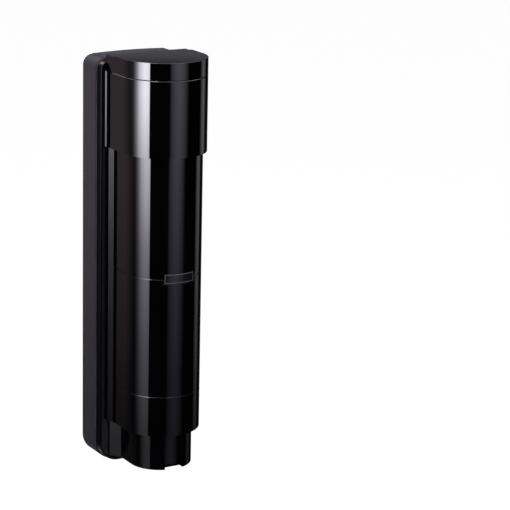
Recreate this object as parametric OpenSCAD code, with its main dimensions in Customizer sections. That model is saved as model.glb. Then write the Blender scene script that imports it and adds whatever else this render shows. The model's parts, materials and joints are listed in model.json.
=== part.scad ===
// Infrared beam detector: one housing of a facing pair, made to hang on a wall.
// Millimetres. The wall is the plane y = 0, the front faces -Y and +Z is up.
// The origin is the middle of the wall face, at the centre of its four screw holes.

/* [Rear box] */
// Depth of the rear box from the wall
box_depth = 28; // [24:1:40]
// Wall thickness of the rear box
box_wall = 2.5; // [2:0.1:3]
// Radius of the two upper corners
box_top_r = 10; // [8:0.5:12]
// Radius of the two lower corners
box_bottom_r = 22; // [18:0.5:26]
// Rise of the slightly arched top of the box
box_crown = 1.5; // [0.8:0.1:3]

/* [Front frame] */
// Depth of the frame round the cover
frame_depth = 9; // [8:0.5:14]
// Wall thickness of the frame
frame_wall = 2.2; // [1.6:0.1:3]
// How far the frame stands back from the sides of the box
frame_inset = 1.2; // [0.5:0.1:2]
// Gap between the hood and the frame at each side
side_gap = 1.3; // [0.8:0.1:4]

/* [Cover] */
// Radius of the round front of the cover
cover_r = 40; // [38:0.5:44]
// Wall thickness of the cover, the foot and the hood
shell_wall = 2; // [1.6:0.1:2.4]
// Height of each of the two beam windows
window_h = 122.5; // [120:0.5:126]
// Height of the plain strip below the lower window
strip_h = 42; // [38:0.5:50]
// Height of the grooves that divide the cover
groove_h = 1.6; // [1:0.1:2.4]
// Depth of the grooves
groove_depth = 0.8; // [0.4:0.1:1]

/* [Hood] */
// How far the hood stands out over the cover
hood_step = 4; // [3.8:0.1:6]
// Height of the hood with its cap
hood_h = 94; // [88:0.5:100]
// Height of the cap that closes the hood
cap_h = 17.5; // [14:0.5:22]
// How far the hood rises above the rear box
hood_rise = 5.5; // [3:0.5:8]

/* [Foot] */
// Radius of the round front of the foot
foot_r = 32.3; // [30:0.1:34]
// Height of the foot
foot_h = 38.5; // [34:0.5:44]
// How far the foot ends above the bottom of the rear box
foot_rise = 9; // [5:0.5:12]
// Width of the screw recess in the foot
recess_w = 20; // [16:0.5:24]
// Height of the screw recess
recess_h = 5.5; // [5:0.1:7]

/* [Optics] */
// Width of a lens holder
holder_w = 50; // [44:0.5:50]
// Gap between the brackets of the two lens holders
bracket_gap = 5.1; // [3:0.1:9]
// Depth of a lens holder
holder_depth = 33; // [28:0.5:34]
// Height of the gap between the two lenses of a pair
sight_h = 9; // [7:0.5:12]
// Radius of the pins on which a lens holder tilts
tilt_pin_r = 2; // [1.5:0.1:2.5]
// Radius of the pins on which a yoke turns
pan_pin_r = 4; // [3:0.1:5]
// Radius of a tilt screw
tilt_screw_r = 2; // [1.5:0.1:2.2]

/* [Wall mounting] */
// Distance between the wall screws across the box
mount_x = 60; // [50:1:66]
// Distance between the wall screws up the box
mount_z = 320; // [300:1:330]
// Radius of a wall screw hole
mount_hole_r = 2.6; // [2:0.1:3]
// Radius of the hole through the wiring grommet
wire_r = 6; // [4:0.5:7]

/* [Hidden] */
$fn = 96;

// Clearances and small sizes shared by many pieces
over = 1;
slack = 0.3;
run_fit = 0.05;
snug = 0.15;
small_wall = 1.6;
post_r = 3.5;
pilot_r = 1.25;
board_t = 1.6;
screw_r = 1.5;
head_r = 2.8;
head_h = 1.8;
drive_r = 1.2;
drive_depth = 0.9;

// Width of the rear box, which the hood sets, and height of the foot, cover and hood together
ledge = 1.8;
frame_round = frame_inset + frame_wall;
hood_r = cover_r + hood_step;
box_w = 2 * (hood_r + side_gap + ledge + frame_round);
fronts_h = foot_h + strip_h + 2 * window_h + hood_h;

// Levels and planes of the housing; its middle lies a little above the middle of the holes
middle_z = 4.25;
z_low = middle_z - fronts_h / 2;
box_low = z_low - foot_rise;
z_top = z_low + fronts_h - hood_rise;
corner_low = z_top - box_crown - box_top_r;
foot_top = z_low + foot_h;
groove_3_z = foot_top + strip_h;
groove_2_z = groove_3_z + window_h;
hood_low = groove_2_z + window_h;
hood_top = hood_low + hood_h;
groove_1_z = hood_top - cap_h;
gasket_t = 1;
frame_back = -box_depth - gasket_t;
frame_front = frame_back - frame_depth;
flange_t = 2.5;
chassis_t = 2.5;
chassis_back = frame_back - flange_t;
chassis_front = chassis_back - chassis_t;
seal_t = 0.9;
shell_back = chassis_front - seal_t - slack;

// The round fronts share one upright axis
axis_back = 38;
axis_y = frame_front - axis_back;
to_shell_back = shell_back - axis_y;

// Oblique strips where the sides of the cover and the foot widen to the rear
cover_crease = 27.5;
flare_back = 6;
cover_flare_out = 3;
foot_crease = 23.5;
foot_flare_back = 10.8;
foot_flare_out = 7.7;
foot_back = axis_back - slack;

// The tail behind the hood's cap is rounded, and the cover ends below its rounding
tail_round = 10;
cover_top = hood_top - tail_round - slack;

// Each window holds a bracket, a yoke and a lens holder, one inside the other
shelf_t = 3.5;
shelf_gap = 0.3;
scale_t = 0.8;
room_below = 14.5;
room_above = 6.5;
bracket_h = window_h - scale_t - bracket_gap;
yoke_h = bracket_h - 2 * (shelf_gap + shelf_t);
holder_h = yoke_h - room_below - room_above;

// Places of the optics: the middle of each lens holder
optics_rise = 4;
lower_z = groove_3_z + window_h / 2 + optics_rise;
upper_z = groove_2_z + window_h / 2 + optics_rise;

// The front half of a disc
module half_disc(r) {
    intersection() {
        circle(r);
        translate([-r, -r]) square([2 * r, r]);
    }
}

// A round front with straight sides, drawn from the upright axis, with its back at y = back
module d_area(r, back) {
    half_disc(r);
    translate([-r, 0]) square([2 * r, back]);
}

// The same with an oblique strip at each side that widens to the rear
module flared_area(r, crease, strip_back, strip_out, back) {
    half_disc(r);
    polygon([[-r, 0], [-r, crease], [-r - strip_out, crease + strip_back], [-r - strip_out, back],
        [r + strip_out, back], [r + strip_out, crease + strip_back], [r, crease], [r, 0]]);
}

module cover_area(inset) {
    flared_area(cover_r - inset, cover_crease, flare_back, cover_flare_out, to_shell_back);
}

module foot_area(inset) {
    flared_area(foot_r - inset, foot_crease, foot_flare_back, foot_flare_out, foot_back);
}

// A block that stands on the axis: its outline extruded from level z
module upright(z, h) {
    translate([0, axis_y, z]) linear_extrude(h) children();
}

// A slab drawn in the plane of the wall, from plane y forwards to the reader
module slab(y, t) {
    translate([0, y, 0]) rotate([90, 0, 0]) linear_extrude(t) children();
}

// Outline of the rear box, drawn in by a margin: four round corners and an arched top
crown_r = (box_w * box_w / 4 + box_crown * box_crown) / (2 * box_crown);

module box_area(inset) {
    w = box_w - 2 * inset;
    low = box_low + inset;
    top = z_top - box_crown - inset;
    rt = box_top_r - inset;
    rb = box_bottom_r - inset;
    translate([-w / 2, low + rb]) square([w, top - low - rt - rb]);
    translate([-w / 2 + rb, low]) square([w - 2 * rb, rb]);
    for (side = [-1, 1]) {
        translate([side * (w / 2 - rb), low + rb]) circle(rb);
        translate([side * (w / 2 - rt), top - rt]) circle(rt);
    }
    intersection() {
        translate([0, z_top - crown_r]) circle(crown_r - inset, $fn = 1440);
        translate([-w / 2 + rt, top - rt]) square([w - 2 * rt, rt + box_crown]);
    }
}

module at_wall(x, z) {
    translate([x, 0, z]) children();
}

// A rod along Y from plane y forwards
module rod_y(y, length, r) {
    translate([0, y, 0]) rotate([90, 0, 0]) cylinder(h = length, r = r);
}

// A rod along X, centred
module rod_x(length, r) {
    rotate([0, 90, 0]) cylinder(h = length, r = r, center = true);
}

// A screw that points to the wall: its head's underside is at plane y
module wall_screw(y, length, r) {
    difference() {
        union() {
            rod_y(y, head_h, head_r);
            rod_y(y + length, length, r);
        }
        translate([0, y - head_h + drive_depth, 0]) rotate([90, 0, 0])
            cylinder(h = drive_depth + over, r = drive_r, $fn = 6);
    }
}

module block(x, y, z) {
    translate([x[0], y[0], z[0]]) cube([x[1] - x[0], y[1] - y[0], z[1] - z[0]]);
}

// Rear box
boss_r = 5;
boss_clear = 4;
boss_x = cover_r - shell_wall - boss_clear;
boss_rise = 20.5;
boss_drop = 23.5;
mount_boss_r = 6;
mount_boss_h = 3.5;
wire_z = -128;
grommet_wall = 1.5;
grommet_lip = 2;
grommet_lip_t = 1.5;
relay_board_w = 70;
relay_board_h = 150;
relay_board_z = -20;
relay_post_h = 12;
relay_post_inset = 6;
relay_board_back = -box_wall - relay_post_h;
relay_board_front = relay_board_back - board_t;

module boss_places() {
    for (side = [-1, 1], z = [z_low + boss_rise, z_top - boss_drop])
        at_wall(side * boss_x, z) children();
}

module mount_places() {
    for (side = [-1, 1], end = [-1, 1])
        at_wall(side * mount_x / 2, end * mount_z / 2) children();
}

module relay_post_places() {
    for (side = [-1, 1], end = [-1, 1])
        at_wall(side * (relay_board_w / 2 - relay_post_inset),
            relay_board_z + end * (relay_board_h / 2 - relay_post_inset)) children();
}

module back_box() {
    color("#3b3b40")
    difference() {
        union() {
            difference() {
                slab(0, box_depth) box_area(0);
                slab(-box_wall, box_depth) box_area(box_wall);
            }
            boss_places() rod_y(-box_wall, -box_wall - chassis_back, boss_r);
            mount_places() rod_y(-box_wall, mount_boss_h, mount_boss_r);
            relay_post_places() rod_y(-box_wall, relay_post_h, post_r);
        }
        boss_places() rod_y(-box_wall - mount_boss_h, box_depth, screw_r + run_fit);
        mount_places() rod_y(over, box_wall + mount_boss_h + 2 * over, mount_hole_r);
        relay_post_places() rod_y(-box_wall - mount_boss_h, box_depth, pilot_r);
        at_wall(0, wire_z) rod_y(over, box_wall + 2 * over, wire_r + grommet_wall + run_fit);
    }
}

module box_gasket() {
    color("#1c1c1c")
    difference() {
        slab(-box_depth, gasket_t) box_area(frame_inset / 2);
        slab(-box_depth + over, gasket_t + 2 * over) box_area(box_wall);
    }
}

module wiring_grommet() {
    color("#202020")
    at_wall(0, wire_z)
    difference() {
        union() {
            rod_y(0, box_wall + grommet_lip_t, wire_r + grommet_wall);
            rod_y(-box_wall, grommet_lip_t, wire_r + grommet_wall + grommet_lip);
        }
        rod_y(over, box_wall + grommet_lip_t + 2 * over, wire_r);
    }
}

relay_w = 16;
relay_tall = 28;
relay_h = 9;
relay_gap = 20;
relay_rows = [-1, 0, 1];

module relay_board() {
    color("#1d5c38")
    difference() {
        translate([-relay_board_w / 2, relay_board_front, relay_board_z - relay_board_h / 2])
            cube([relay_board_w, board_t, relay_board_h]);
        relay_post_places() rod_y(over, box_depth, pilot_r);
    }
}

module relays() {
    color("#e8e4d8")
    for (row = relay_rows)
        translate([-relay_w / 2, relay_board_front - relay_h,
                relay_board_z - relay_tall / 2 + row * (relay_tall + relay_gap)])
            cube([relay_w, relay_h, relay_tall]);
}

// Front frame, with an inner flange that the chassis clamps; its top edge is cut back for the hood
module front_frame() {
    color("#151517")
    difference() {
        slab(frame_back, frame_depth) box_area(frame_inset);
        slab(frame_back - flange_t, frame_depth) box_area(frame_round);
        slab(frame_back + over, frame_depth) box_area(frame_round + ledge);
        block([-hood_r - slack, hood_r + slack], [frame_front - over, shell_back + slack],
            [corner_low, z_top + over]);
    }
}

// Chassis
chassis_gap = 0.3;
chassis_top = z_top - box_crown - frame_round - chassis_gap;
wire_slot_w = 30;
wire_slot_h = 9;
wire_slot_z = foot_top + wire_slot_h;
board_post_h = 16;
board_side_gap = 3;
board_w = 2 * (boss_x - board_side_gap);
board_h = 72;
board_z = hood_low + (groove_1_z - hood_low) / 2;
board_post_inset = 5;
board_back = chassis_front - board_post_h;
board_front = board_back - board_t;
tongue_w = 24;
tongue_t = 2.5;
clamp_y = axis_y - foot_r / 2;
clamp_screw_r = 2;
tongue_slot = 2 * clamp_screw_r + 2 * slack;
tongue_low = z_low + recess_h + shell_wall + slack;
tongue_reach = clamp_y - 3 * clamp_screw_r;

module board_post_places() {
    for (side = [-1, 1], end = [-1, 1])
        at_wall(side * (board_w / 2 - board_post_inset),
            board_z + end * (board_h / 2 - board_post_inset)) children();
}

module chassis() {
    color("#26262a")
    difference() {
        union() {
            slab(chassis_back, chassis_t) box_area(frame_round + chassis_gap);
            board_post_places() rod_y(chassis_front, board_post_h, post_r);
            block([-tongue_w / 2, tongue_w / 2], [tongue_reach, chassis_back],
                [tongue_low, tongue_low + tongue_t]);
        }
        boss_places() rod_y(0, 2 * box_depth, screw_r + slack);
        board_post_places() rod_y(chassis_front, board_post_h + over, pilot_r);
        bracket_screw_places() rod_y(0, 2 * box_depth, pilot_r);
        block([-wire_slot_w / 2, wire_slot_w / 2], [chassis_front - over, chassis_back + over],
            [wire_slot_z - wire_slot_h / 2, wire_slot_z + wire_slot_h / 2]);
        block([-tongue_slot / 2, tongue_slot / 2], [tongue_reach - over, clamp_y],
            [tongue_low - over, tongue_low + tongue_t + over]);
        translate([0, clamp_y, tongue_low - over])
            cylinder(h = tongue_t + 2 * over, d = tongue_slot);
    }
}

chassis_screw_l = 16;

module chassis_screws() {
    color("#b8b8bc")
    boss_places() wall_screw(chassis_front, chassis_screw_l, screw_r);
}

// Seal that the rear edge of the cover presses on
seal_w = 3.2;
seal_out = cover_r + cover_flare_out + slack;

module cover_gasket() {
    color("#1a1a1a")
    slab(chassis_front, seal_t)
    difference() {
        intersection() {
            box_area(frame_round + chassis_gap);
            translate([-seal_out, foot_top]) square([2 * seal_out, chassis_top - foot_top]);
        }
        translate([-seal_out + seal_w, foot_top + seal_w])
            square([2 * (seal_out - seal_w), chassis_top - foot_top - 2 * seal_w]);
    }
}

// Brackets that carry the optics on two shelves each
bracket_w = 34;
bracket_t = 2.5;
yoke_low = holder_h / 2 + room_below;
yoke_high = holder_h / 2 + room_above;
shelf_nose = 11;
bracket_foot = 6;
bracket_screw_x = bracket_w / 2 - bracket_foot;
bracket_front = chassis_front - bracket_t;

module bracket_screw_places() {
    for (zc = [lower_z, upper_z], side = [-1, 1], end = [-1, 1])
        at_wall(side * bracket_screw_x, zc + end * holder_h / 4) children();
}

module bracket(zc) {
    low = zc - yoke_low - shelf_gap - shelf_t;
    high = zc + yoke_high + shelf_gap;
    color("#2c2d31")
    difference() {
        union() {
            block([-bracket_w / 2, bracket_w / 2], [bracket_front, chassis_front],
                [low, high + shelf_t]);
            for (z = [low, high]) {
                block([-shelf_nose, shelf_nose], [axis_y, chassis_front], [z, z + shelf_t]);
                translate([0, axis_y, z]) cylinder(h = shelf_t, r = shelf_nose);
            }
        }
        for (z = [low, high])
            translate([0, axis_y, z - over])
                cylinder(h = shelf_t + 2 * over, r = pan_pin_r + run_fit);
        bracket_screw_places() rod_y(0, 2 * box_depth, screw_r + run_fit);
    }
}

module lower_bracket() {
    bracket(lower_z);
}

module upper_bracket() {
    bracket(upper_z);
}

bracket_screw_l = 5;

module bracket_screws() {
    color("#c2c2c6")
    bracket_screw_places() wall_screw(bracket_front, bracket_screw_l, pilot_r - run_fit);
}

// Ring scale round the upper pin of each yoke
scale_margin = 0.5;
scale_clear = 1.5;
scale_out = shelf_nose - scale_margin;
scale_in = pan_pin_r + scale_clear;
tick_w = 0.5;
tick_l = 1.6;

module pan_scale(zc) {
    z = zc + yoke_high + shelf_gap + shelf_t;
    color("#e6e6e2")
    translate([0, axis_y, z])
    difference() {
        cylinder(h = scale_t, r = scale_out);
        translate([0, 0, -over]) cylinder(h = scale_t + 2 * over, r = scale_in);
        for (a = [-90 : 30 : 90]) rotate([0, 0, a])
            translate([-tick_w / 2, -scale_out - over, scale_t / 2])
                cube([tick_w, tick_l + over, scale_t]);
    }
}

module lower_pan_scale() {
    pan_scale(lower_z);
}

module upper_pan_scale() {
    pan_scale(upper_z);
}

// Yoke: a frame that turns in the shelves and holds the tilt pins
yoke_arm_t = 2.5;
yoke_arm_half = 6;
yoke_plate_t = 2.5;
yoke_plate_half = 12;
yoke_gap = 0.6;
yoke_in = holder_w / 2 + yoke_gap;
yoke_out = yoke_in + yoke_arm_t;
lip_t = 2.4;
lip_half = 6;
lip_right = 3.4;
screw_drop = 7.3;
lip_rise = 3.2;

module yoke_body(zc) {
    color("#34353a")
    translate([0, axis_y, zc])
    difference() {
        union() {
            for (side = [-1, 1])
                translate([side * (yoke_in + yoke_arm_t / 2) - yoke_arm_t / 2, -yoke_arm_half,
                        -yoke_low])
                    cube([yoke_arm_t, 2 * yoke_arm_half, yoke_low + yoke_high]);
            for (z = [-yoke_low, yoke_high - yoke_plate_t])
                translate([-yoke_out, -yoke_plate_half, z])
                    cube([2 * yoke_out, 2 * yoke_plate_half, yoke_plate_t]);
            for (y = [-yoke_plate_half, yoke_plate_half - lip_t])
                translate([-lip_half, y, -yoke_low])
                    cube([lip_half + lip_right, lip_t,
                        yoke_low - holder_h / 2 - screw_drop + lip_rise]);
            translate([0, 0, yoke_high - over])
                cylinder(h = over + shelf_gap + shelf_t, r = pan_pin_r);
            translate([0, 0, -yoke_low - shelf_gap - shelf_t])
                cylinder(h = over + shelf_gap + shelf_t, r = pan_pin_r);
        }
        rod_x(3 * holder_w, tilt_pin_r + run_fit);
        translate([0, 0, -holder_h / 2 - screw_drop])
            rod_y(holder_w, 2 * holder_w, tilt_screw_r + run_fit);
    }
}

module lower_yoke() {
    yoke_body(lower_z);
}

module upper_yoke() {
    yoke_body(upper_z);
}

// Lens holder: a box open to the front, with a sight in its middle and a fork below
holder_wall = 1.8;
holder_front = -18;
holder_back = holder_front + holder_depth;
lens_h = (holder_h - sight_h - 2 * holder_wall) / 2;
lens_w = holder_w - 2 * holder_wall;
lens_z = (sight_h + lens_h) / 2;
sensor_seat = 2.2;
fork_x = 4;
fork_t = 3;
fork_side = 2;
peg_r = 1.5;
fork_over = 0.5;
fork_drop = screw_drop + peg_r + fork_over;

module lens_holder(zc) {
    color("#2a2b2f")
    translate([0, axis_y, zc])
    difference() {
        union() {
            difference() {
                translate([-holder_w / 2, holder_front, -holder_h / 2])
                    cube([holder_w, holder_depth, holder_h]);
                for (end = [-1, 1])
                    translate([-lens_w / 2, holder_front - over, end * lens_z - lens_h / 2])
                        cube([lens_w, holder_depth + 2 * over, lens_h]);
                translate([-lens_w / 2, holder_front - over, -sight_h / 2 + holder_wall])
                    cube([lens_w, holder_depth / 2, sight_h - 2 * holder_wall]);
            }
            for (y = [-peg_r - run_fit - fork_side, peg_r + run_fit])
                translate([fork_x, y, -holder_h / 2 - fork_drop])
                    cube([fork_t, fork_side, fork_drop + over]);
        }
        for (side = [-1, 1])
            translate([side * holder_w / 2, 0, 0])
                rod_x(2 * holder_wall + over, tilt_pin_r);
        translate([0, holder_back - sensor_seat, 0])
            translate([-lens_w / 2, 0, -holder_h / 2 + holder_wall])
                cube([lens_w, sensor_seat + over, holder_h - 2 * holder_wall]);
    }
}

module lower_lens_holder() {
    lens_holder(lower_z);
}

module upper_lens_holder() {
    lens_holder(upper_z);
}

// Pair of lenses, each a flat plate with a domed front
lens_plate = 2;
lens_bulge = 3.5;
lens_reach = lens_w / 2;
dome_r = (lens_reach * lens_reach + lens_bulge * lens_bulge) / (2 * lens_bulge);

module lens_pair(zc) {
    color("#c8d2dc")
    translate([0, axis_y, zc])
    for (end = [-1, 1]) translate([0, holder_front, end * lens_z])
        intersection() {
            translate([-lens_w / 2 + snug, -lens_bulge, -lens_h / 2 + snug])
                cube([lens_w - 2 * snug, lens_bulge + lens_plate, lens_h - 2 * snug]);
            translate([0, dome_r - lens_bulge, 0]) sphere(dome_r, $fn = 128);
        }
}

module lower_lenses() {
    lens_pair(lower_z);
}

module upper_lenses() {
    lens_pair(upper_z);
}

// Sighting mirror between the lenses, set at 45 degrees
mirror_w = 30;
mirror_t = 1;
mirror_len = sight_h - 2 * holder_wall;

module sight(zc) {
    color("#d6dbe0")
    translate([0, axis_y + holder_front + mirror_len, zc])
    intersection() {
        rotate([45, 0, 0])
            translate([-mirror_w / 2, -mirror_len, -mirror_t / 2])
                cube([mirror_w, 2 * mirror_len, mirror_t]);
        translate([-mirror_w / 2, -mirror_len, -mirror_len / 2])
            cube([mirror_w, 2 * mirror_len, mirror_len]);
    }
}

module lower_sight() {
    sight(lower_z);
}

module upper_sight() {
    sight(upper_z);
}

// Sensor board at the rear of the holder, with a sensor behind each lens
sensor_r = 2.5;
sensor_h = 6;

module sensor_board(zc) {
    color("#1f6a43")
    translate([0, axis_y + holder_back - sensor_seat, zc]) {
        translate([-lens_w / 2 + snug, 0, -holder_h / 2 + holder_wall + snug])
            cube([lens_w - 2 * snug, board_t, holder_h - 2 * holder_wall - 2 * snug]);
        for (end = [-1, 1]) translate([0, 0, end * lens_z]) {
            rod_y(0, sensor_h, sensor_r);
            translate([0, -sensor_h, 0]) sphere(sensor_r);
        }
    }
}

module lower_sensor_board() {
    sensor_board(lower_z);
}

module upper_sensor_board() {
    sensor_board(upper_z);
}

pin_l = yoke_arm_t + yoke_gap + holder_wall;

module tilt_pins(zc) {
    color("#c9c9cd")
    for (side = [-1, 1])
        translate([side * (yoke_out - pin_l / 2), axis_y, zc]) rod_x(pin_l, tilt_pin_r);
}

module lower_tilt_pins() {
    tilt_pins(lower_z);
}

module upper_tilt_pins() {
    tilt_pins(upper_z);
}

// Tilt screw: turned from the front, held between the lips of the yoke
knob_r = 3.6;
knob_t = 3;
screw_tail = 1.2;

module tilt_screw(zc) {
    color("#d9d4c4")
    translate([0, axis_y, zc - holder_h / 2 - screw_drop])
    difference() {
        union() {
            rod_y(yoke_plate_half + screw_tail, 2 * yoke_plate_half + screw_tail + slack,
                tilt_screw_r);
            rod_y(-yoke_plate_half - slack, knob_t, knob_r);
            rod_y(yoke_plate_half + slack + screw_tail, screw_tail, knob_r - over);
        }
        translate([-knob_r - over, -yoke_plate_half - slack - knob_t - over, -tick_w])
            cube([2 * knob_r + 2 * over, over + drive_depth, 2 * tick_w]);
    }
}

module lower_tilt_screw() {
    tilt_screw(lower_z);
}

module upper_tilt_screw() {
    tilt_screw(upper_z);
}

// Travelling nut with the peg that swings the fork
nut_half_x = 3.5;
nut_half_y = 2.5;
nut_half_z = 3;
peg_end = fork_x + fork_t;

module tilt_nut(zc) {
    color("#b89a4a")
    translate([0, axis_y, zc - holder_h / 2 - screw_drop])
    difference() {
        union() {
            translate([-nut_half_x, -nut_half_y, -nut_half_z])
                cube([2 * nut_half_x, 2 * nut_half_y, 2 * nut_half_z]);
            translate([(nut_half_x + peg_end) / 2, 0, 0])
                rod_x(peg_end - nut_half_x + over, peg_r);
        }
        rod_y(holder_w / 2, holder_w, tilt_screw_r + run_fit);
    }
}

module lower_tilt_nut() {
    tilt_nut(lower_z);
}

module upper_tilt_nut() {
    tilt_nut(upper_z);
}

// Control board behind the hood
module control_board() {
    color("#14603a")
    difference() {
        translate([-board_w / 2, board_front, board_z - board_h / 2])
            cube([board_w, board_t, board_h]);
        board_post_places() rod_y(0, 2 * box_depth, screw_r + run_fit);
    }
}

board_screw_l = 8;

module board_screws() {
    color("#c0c0c4")
    board_post_places() wall_screw(board_front, board_screw_l, pilot_r - run_fit);
}

light_r = 2;
light_h = 3;
light_pitch = 9;
light_drop = 20;
light_z = board_z + board_h / 2 - light_drop;

module indicator_lights() {
    color("#c83228")
    for (i = [-1, 0, 1]) at_wall(i * light_pitch, light_z) {
        rod_y(board_front, light_h, light_r);
        translate([0, board_front - light_h, 0]) sphere(light_r);
    }
}

jack_w = 8;
jack_h = 9;
jack_depth = 7;
jack_r = 1.8;
jack_inset = 11;
jack_x = board_w / 2 - jack_inset;
jack_drop = 20;
jack_z = board_z - jack_drop;

module test_jack() {
    color("#1b1b1d")
    difference() {
        translate([jack_x - jack_w / 2, board_front - jack_depth, jack_z - jack_h / 2])
            cube([jack_w, jack_depth, jack_h]);
        at_wall(jack_x, jack_z) rod_y(board_front - small_wall, jack_depth, jack_r);
    }
}

// Mode switches: three sliders that move across their block
switch_w = 14;
switch_h = 16;
switch_depth = 5;
switch_inset = 19;
switch_x = switch_inset - board_w / 2;
switch_drop = 20;
switch_z = board_z - switch_drop;
slider_pitch = 5;
slider_h = 2.4;
slider_w = 3;
slider_travel = 3;
slider_depth = 2;
slider_rise = 1.4;
slot_w = slider_w + slider_travel + 2 * snug;

module mode_switch_block() {
    color("#a8281e")
    difference() {
        translate([switch_x - switch_w / 2, board_front - switch_depth, switch_z - switch_h / 2])
            cube([switch_w, switch_depth, switch_h]);
        for (i = [-1, 0, 1])
            translate([switch_x - slot_w / 2, board_front - switch_depth - over,
                    switch_z + i * slider_pitch - slider_h / 2 - snug])
                cube([slot_w, slider_depth + over, slider_h + 2 * snug]);
    }
}

module mode_slider(i) {
    color("#f0f0ea")
    translate([switch_x - slot_w / 2 + snug, board_front - switch_depth - slider_rise,
            switch_z + i * slider_pitch - slider_h / 2])
        cube([slider_w, slider_depth + slider_rise, slider_h]);
}

module mode_slider_1() {
    mode_slider(-1);
}

module mode_slider_2() {
    mode_slider(0);
}

module mode_slider_3() {
    mode_slider(1);
}

// Two rotary dials, each a square base with a slotted knob
dial_inset = 15;
dial_x = board_w / 2 - dial_inset;
dial_rise = 2;
dial_z = board_z + dial_rise;
dial_side = 13;
dial_base_h = 5;
dial_r = 5;
dial_h = 3.5;
dial_pin_r = 1.5;
dial_pin_l = 3;

module dial_base(x) {
    color("#2d4a8c")
    difference() {
        translate([x - dial_side / 2, board_front - dial_base_h, dial_z - dial_side / 2])
            cube([dial_side, dial_base_h, dial_side]);
        at_wall(x, dial_z)
            rod_y(board_front - small_wall, dial_base_h, dial_pin_r + run_fit);
    }
}

module dial_knob(x) {
    color("#ece8dc")
    at_wall(x, dial_z)
    difference() {
        union() {
            rod_y(board_front - dial_base_h - slack, dial_h, dial_r);
            rod_y(board_front - dial_base_h + dial_pin_l, dial_pin_l + over, dial_pin_r);
        }
        translate([-dial_r - over, board_front - dial_base_h - slack - dial_h - over, -tick_w])
            cube([2 * dial_r + 2 * over, over + drive_depth, 2 * tick_w]);
    }
}

module response_dial_base() {
    dial_base(-dial_x);
}

module channel_dial_base() {
    dial_base(dial_x);
}

module response_knob() {
    dial_knob(-dial_x);
}

module channel_knob() {
    dial_knob(dial_x);
}

// Tamper switch: a sprung plunger behind a rib inside the cover, shown at its outer stop
tamper_inset = 11;
tamper_x = tamper_inset - board_w / 2;
tamper_side = 10;
tamper_depth = 8;
tamper_drop = 16;
tamper_z = board_z + board_h / 2 - tamper_drop;
plunger_r = 2;
plunger_out = 4;
plunger_collar_r = 3;
collar_t = 1.2;
collar_gap = 0.2;
tamper_bore_r = plunger_collar_r + collar_gap;
plunger_tip = board_front - tamper_depth - plunger_out;
collar_y = board_front - tamper_depth + small_wall + slack;
tamper_floor = board_front - small_wall;

module tamper_switch() {
    color("#1f2024")
    difference() {
        translate([tamper_x - tamper_side / 2, board_front - tamper_depth,
                tamper_z - tamper_side / 2])
            cube([tamper_side, tamper_depth, tamper_side]);
        at_wall(tamper_x, tamper_z) {
            rod_y(tamper_floor, tamper_depth - 2 * small_wall, tamper_bore_r);
            rod_y(tamper_floor, tamper_depth, plunger_r + run_fit);
        }
    }
}

module tamper_plunger() {
    color("#d8d8d4")
    at_wall(tamper_x, tamper_z) {
        rod_y(collar_y, collar_y - plunger_tip, plunger_r);
        rod_y(collar_y + collar_t, collar_t, plunger_collar_r);
    }
}

spring_r = 1.6;
spring_bore = 1;

module tamper_spring() {
    color("#c8c8cc")
    at_wall(tamper_x, tamper_z)
    difference() {
        rod_y(tamper_floor, tamper_floor - collar_y - collar_t, spring_r);
        rod_y(tamper_floor + over, tamper_floor - collar_y - collar_t + 2 * over, spring_bore);
    }
}

// Terminal block below the lower optics
terminal_w = 66;
terminal_gap = 4;
terminal_h = strip_h - 2 * wire_slot_h - terminal_gap;
terminal_depth = 14;
terminal_z = foot_top + 2 * wire_slot_h + terminal_h / 2;
terminal_count = 8;
terminal_pitch = 8;
terminal_hole_r = 2.6;
terminal_screw_depth = 7;

module terminal_places() {
    for (i = [0 : terminal_count - 1])
        at_wall((i - (terminal_count - 1) / 2) * terminal_pitch, terminal_z) children();
}

module terminal_block() {
    color("#26272b")
    difference() {
        translate([-terminal_w / 2, chassis_front - terminal_depth, terminal_z - terminal_h / 2])
            cube([terminal_w, terminal_depth, terminal_h]);
        terminal_places()
            rod_y(chassis_front - terminal_depth + terminal_screw_depth, terminal_depth,
                terminal_hole_r);
        terminal_places()
            translate([-terminal_hole_r, chassis_front - terminal_depth - over,
                    -terminal_h / 2 - over])
                cube([2 * terminal_hole_r, terminal_screw_depth, terminal_h / 3]);
    }
}

module terminal_screws() {
    color("#cfcfd3")
    terminal_places()
    difference() {
        rod_y(chassis_front - terminal_depth + terminal_screw_depth, terminal_screw_depth - over,
            terminal_hole_r - run_fit);
        translate([-terminal_hole_r - over, chassis_front - terminal_depth - over / 2, -tick_w / 2])
            cube([2 * terminal_hole_r + 2 * over, over + drive_depth + over / 2, tick_w]);
    }
}

// Front cover: two windows between three grooves, open to the rear
cover_floor = 2;
floor_hole_r = 18;
hood_boss_x = 22;
hood_boss_y = 16;
hood_boss_r = 4;
foot_boss_x = 26;
foot_boss_y = 6;
foot_boss_r = 4.6;
foot_boss_h = 16;
plate_angle = 24;
plate_gap_angle = 1.6;
plate_h = 10;
plate_gap = 0.5;
plate_depth = 0.9;
tamper_rib_w = 8;
tamper_rib_t = 2;
rib_front = plunger_tip - slack;

module groove_ring(z) {
    upright(z - groove_h / 2, groove_h)
    difference() {
        cover_area(-over);
        cover_area(groove_depth);
    }
}

// A slice of ring at the front, as wide as the given half angle
module front_arc(z, h, r_in, r_out, half_angle) {
    translate([0, axis_y, z])
        rotate([0, 0, -90 - half_angle])
            rotate_extrude(angle = 2 * half_angle)
                translate([r_in, 0]) square([r_out - r_in, h]);
}

module hood_boss_places() {
    for (side = [-1, 1], end = [-1, 1])
        translate([side * hood_boss_x, axis_y + end * hood_boss_y, 0]) children();
}

module foot_boss_places() {
    for (side = [-1, 1])
        translate([side * foot_boss_x, axis_y + foot_boss_y, 0]) children();
}

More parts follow.
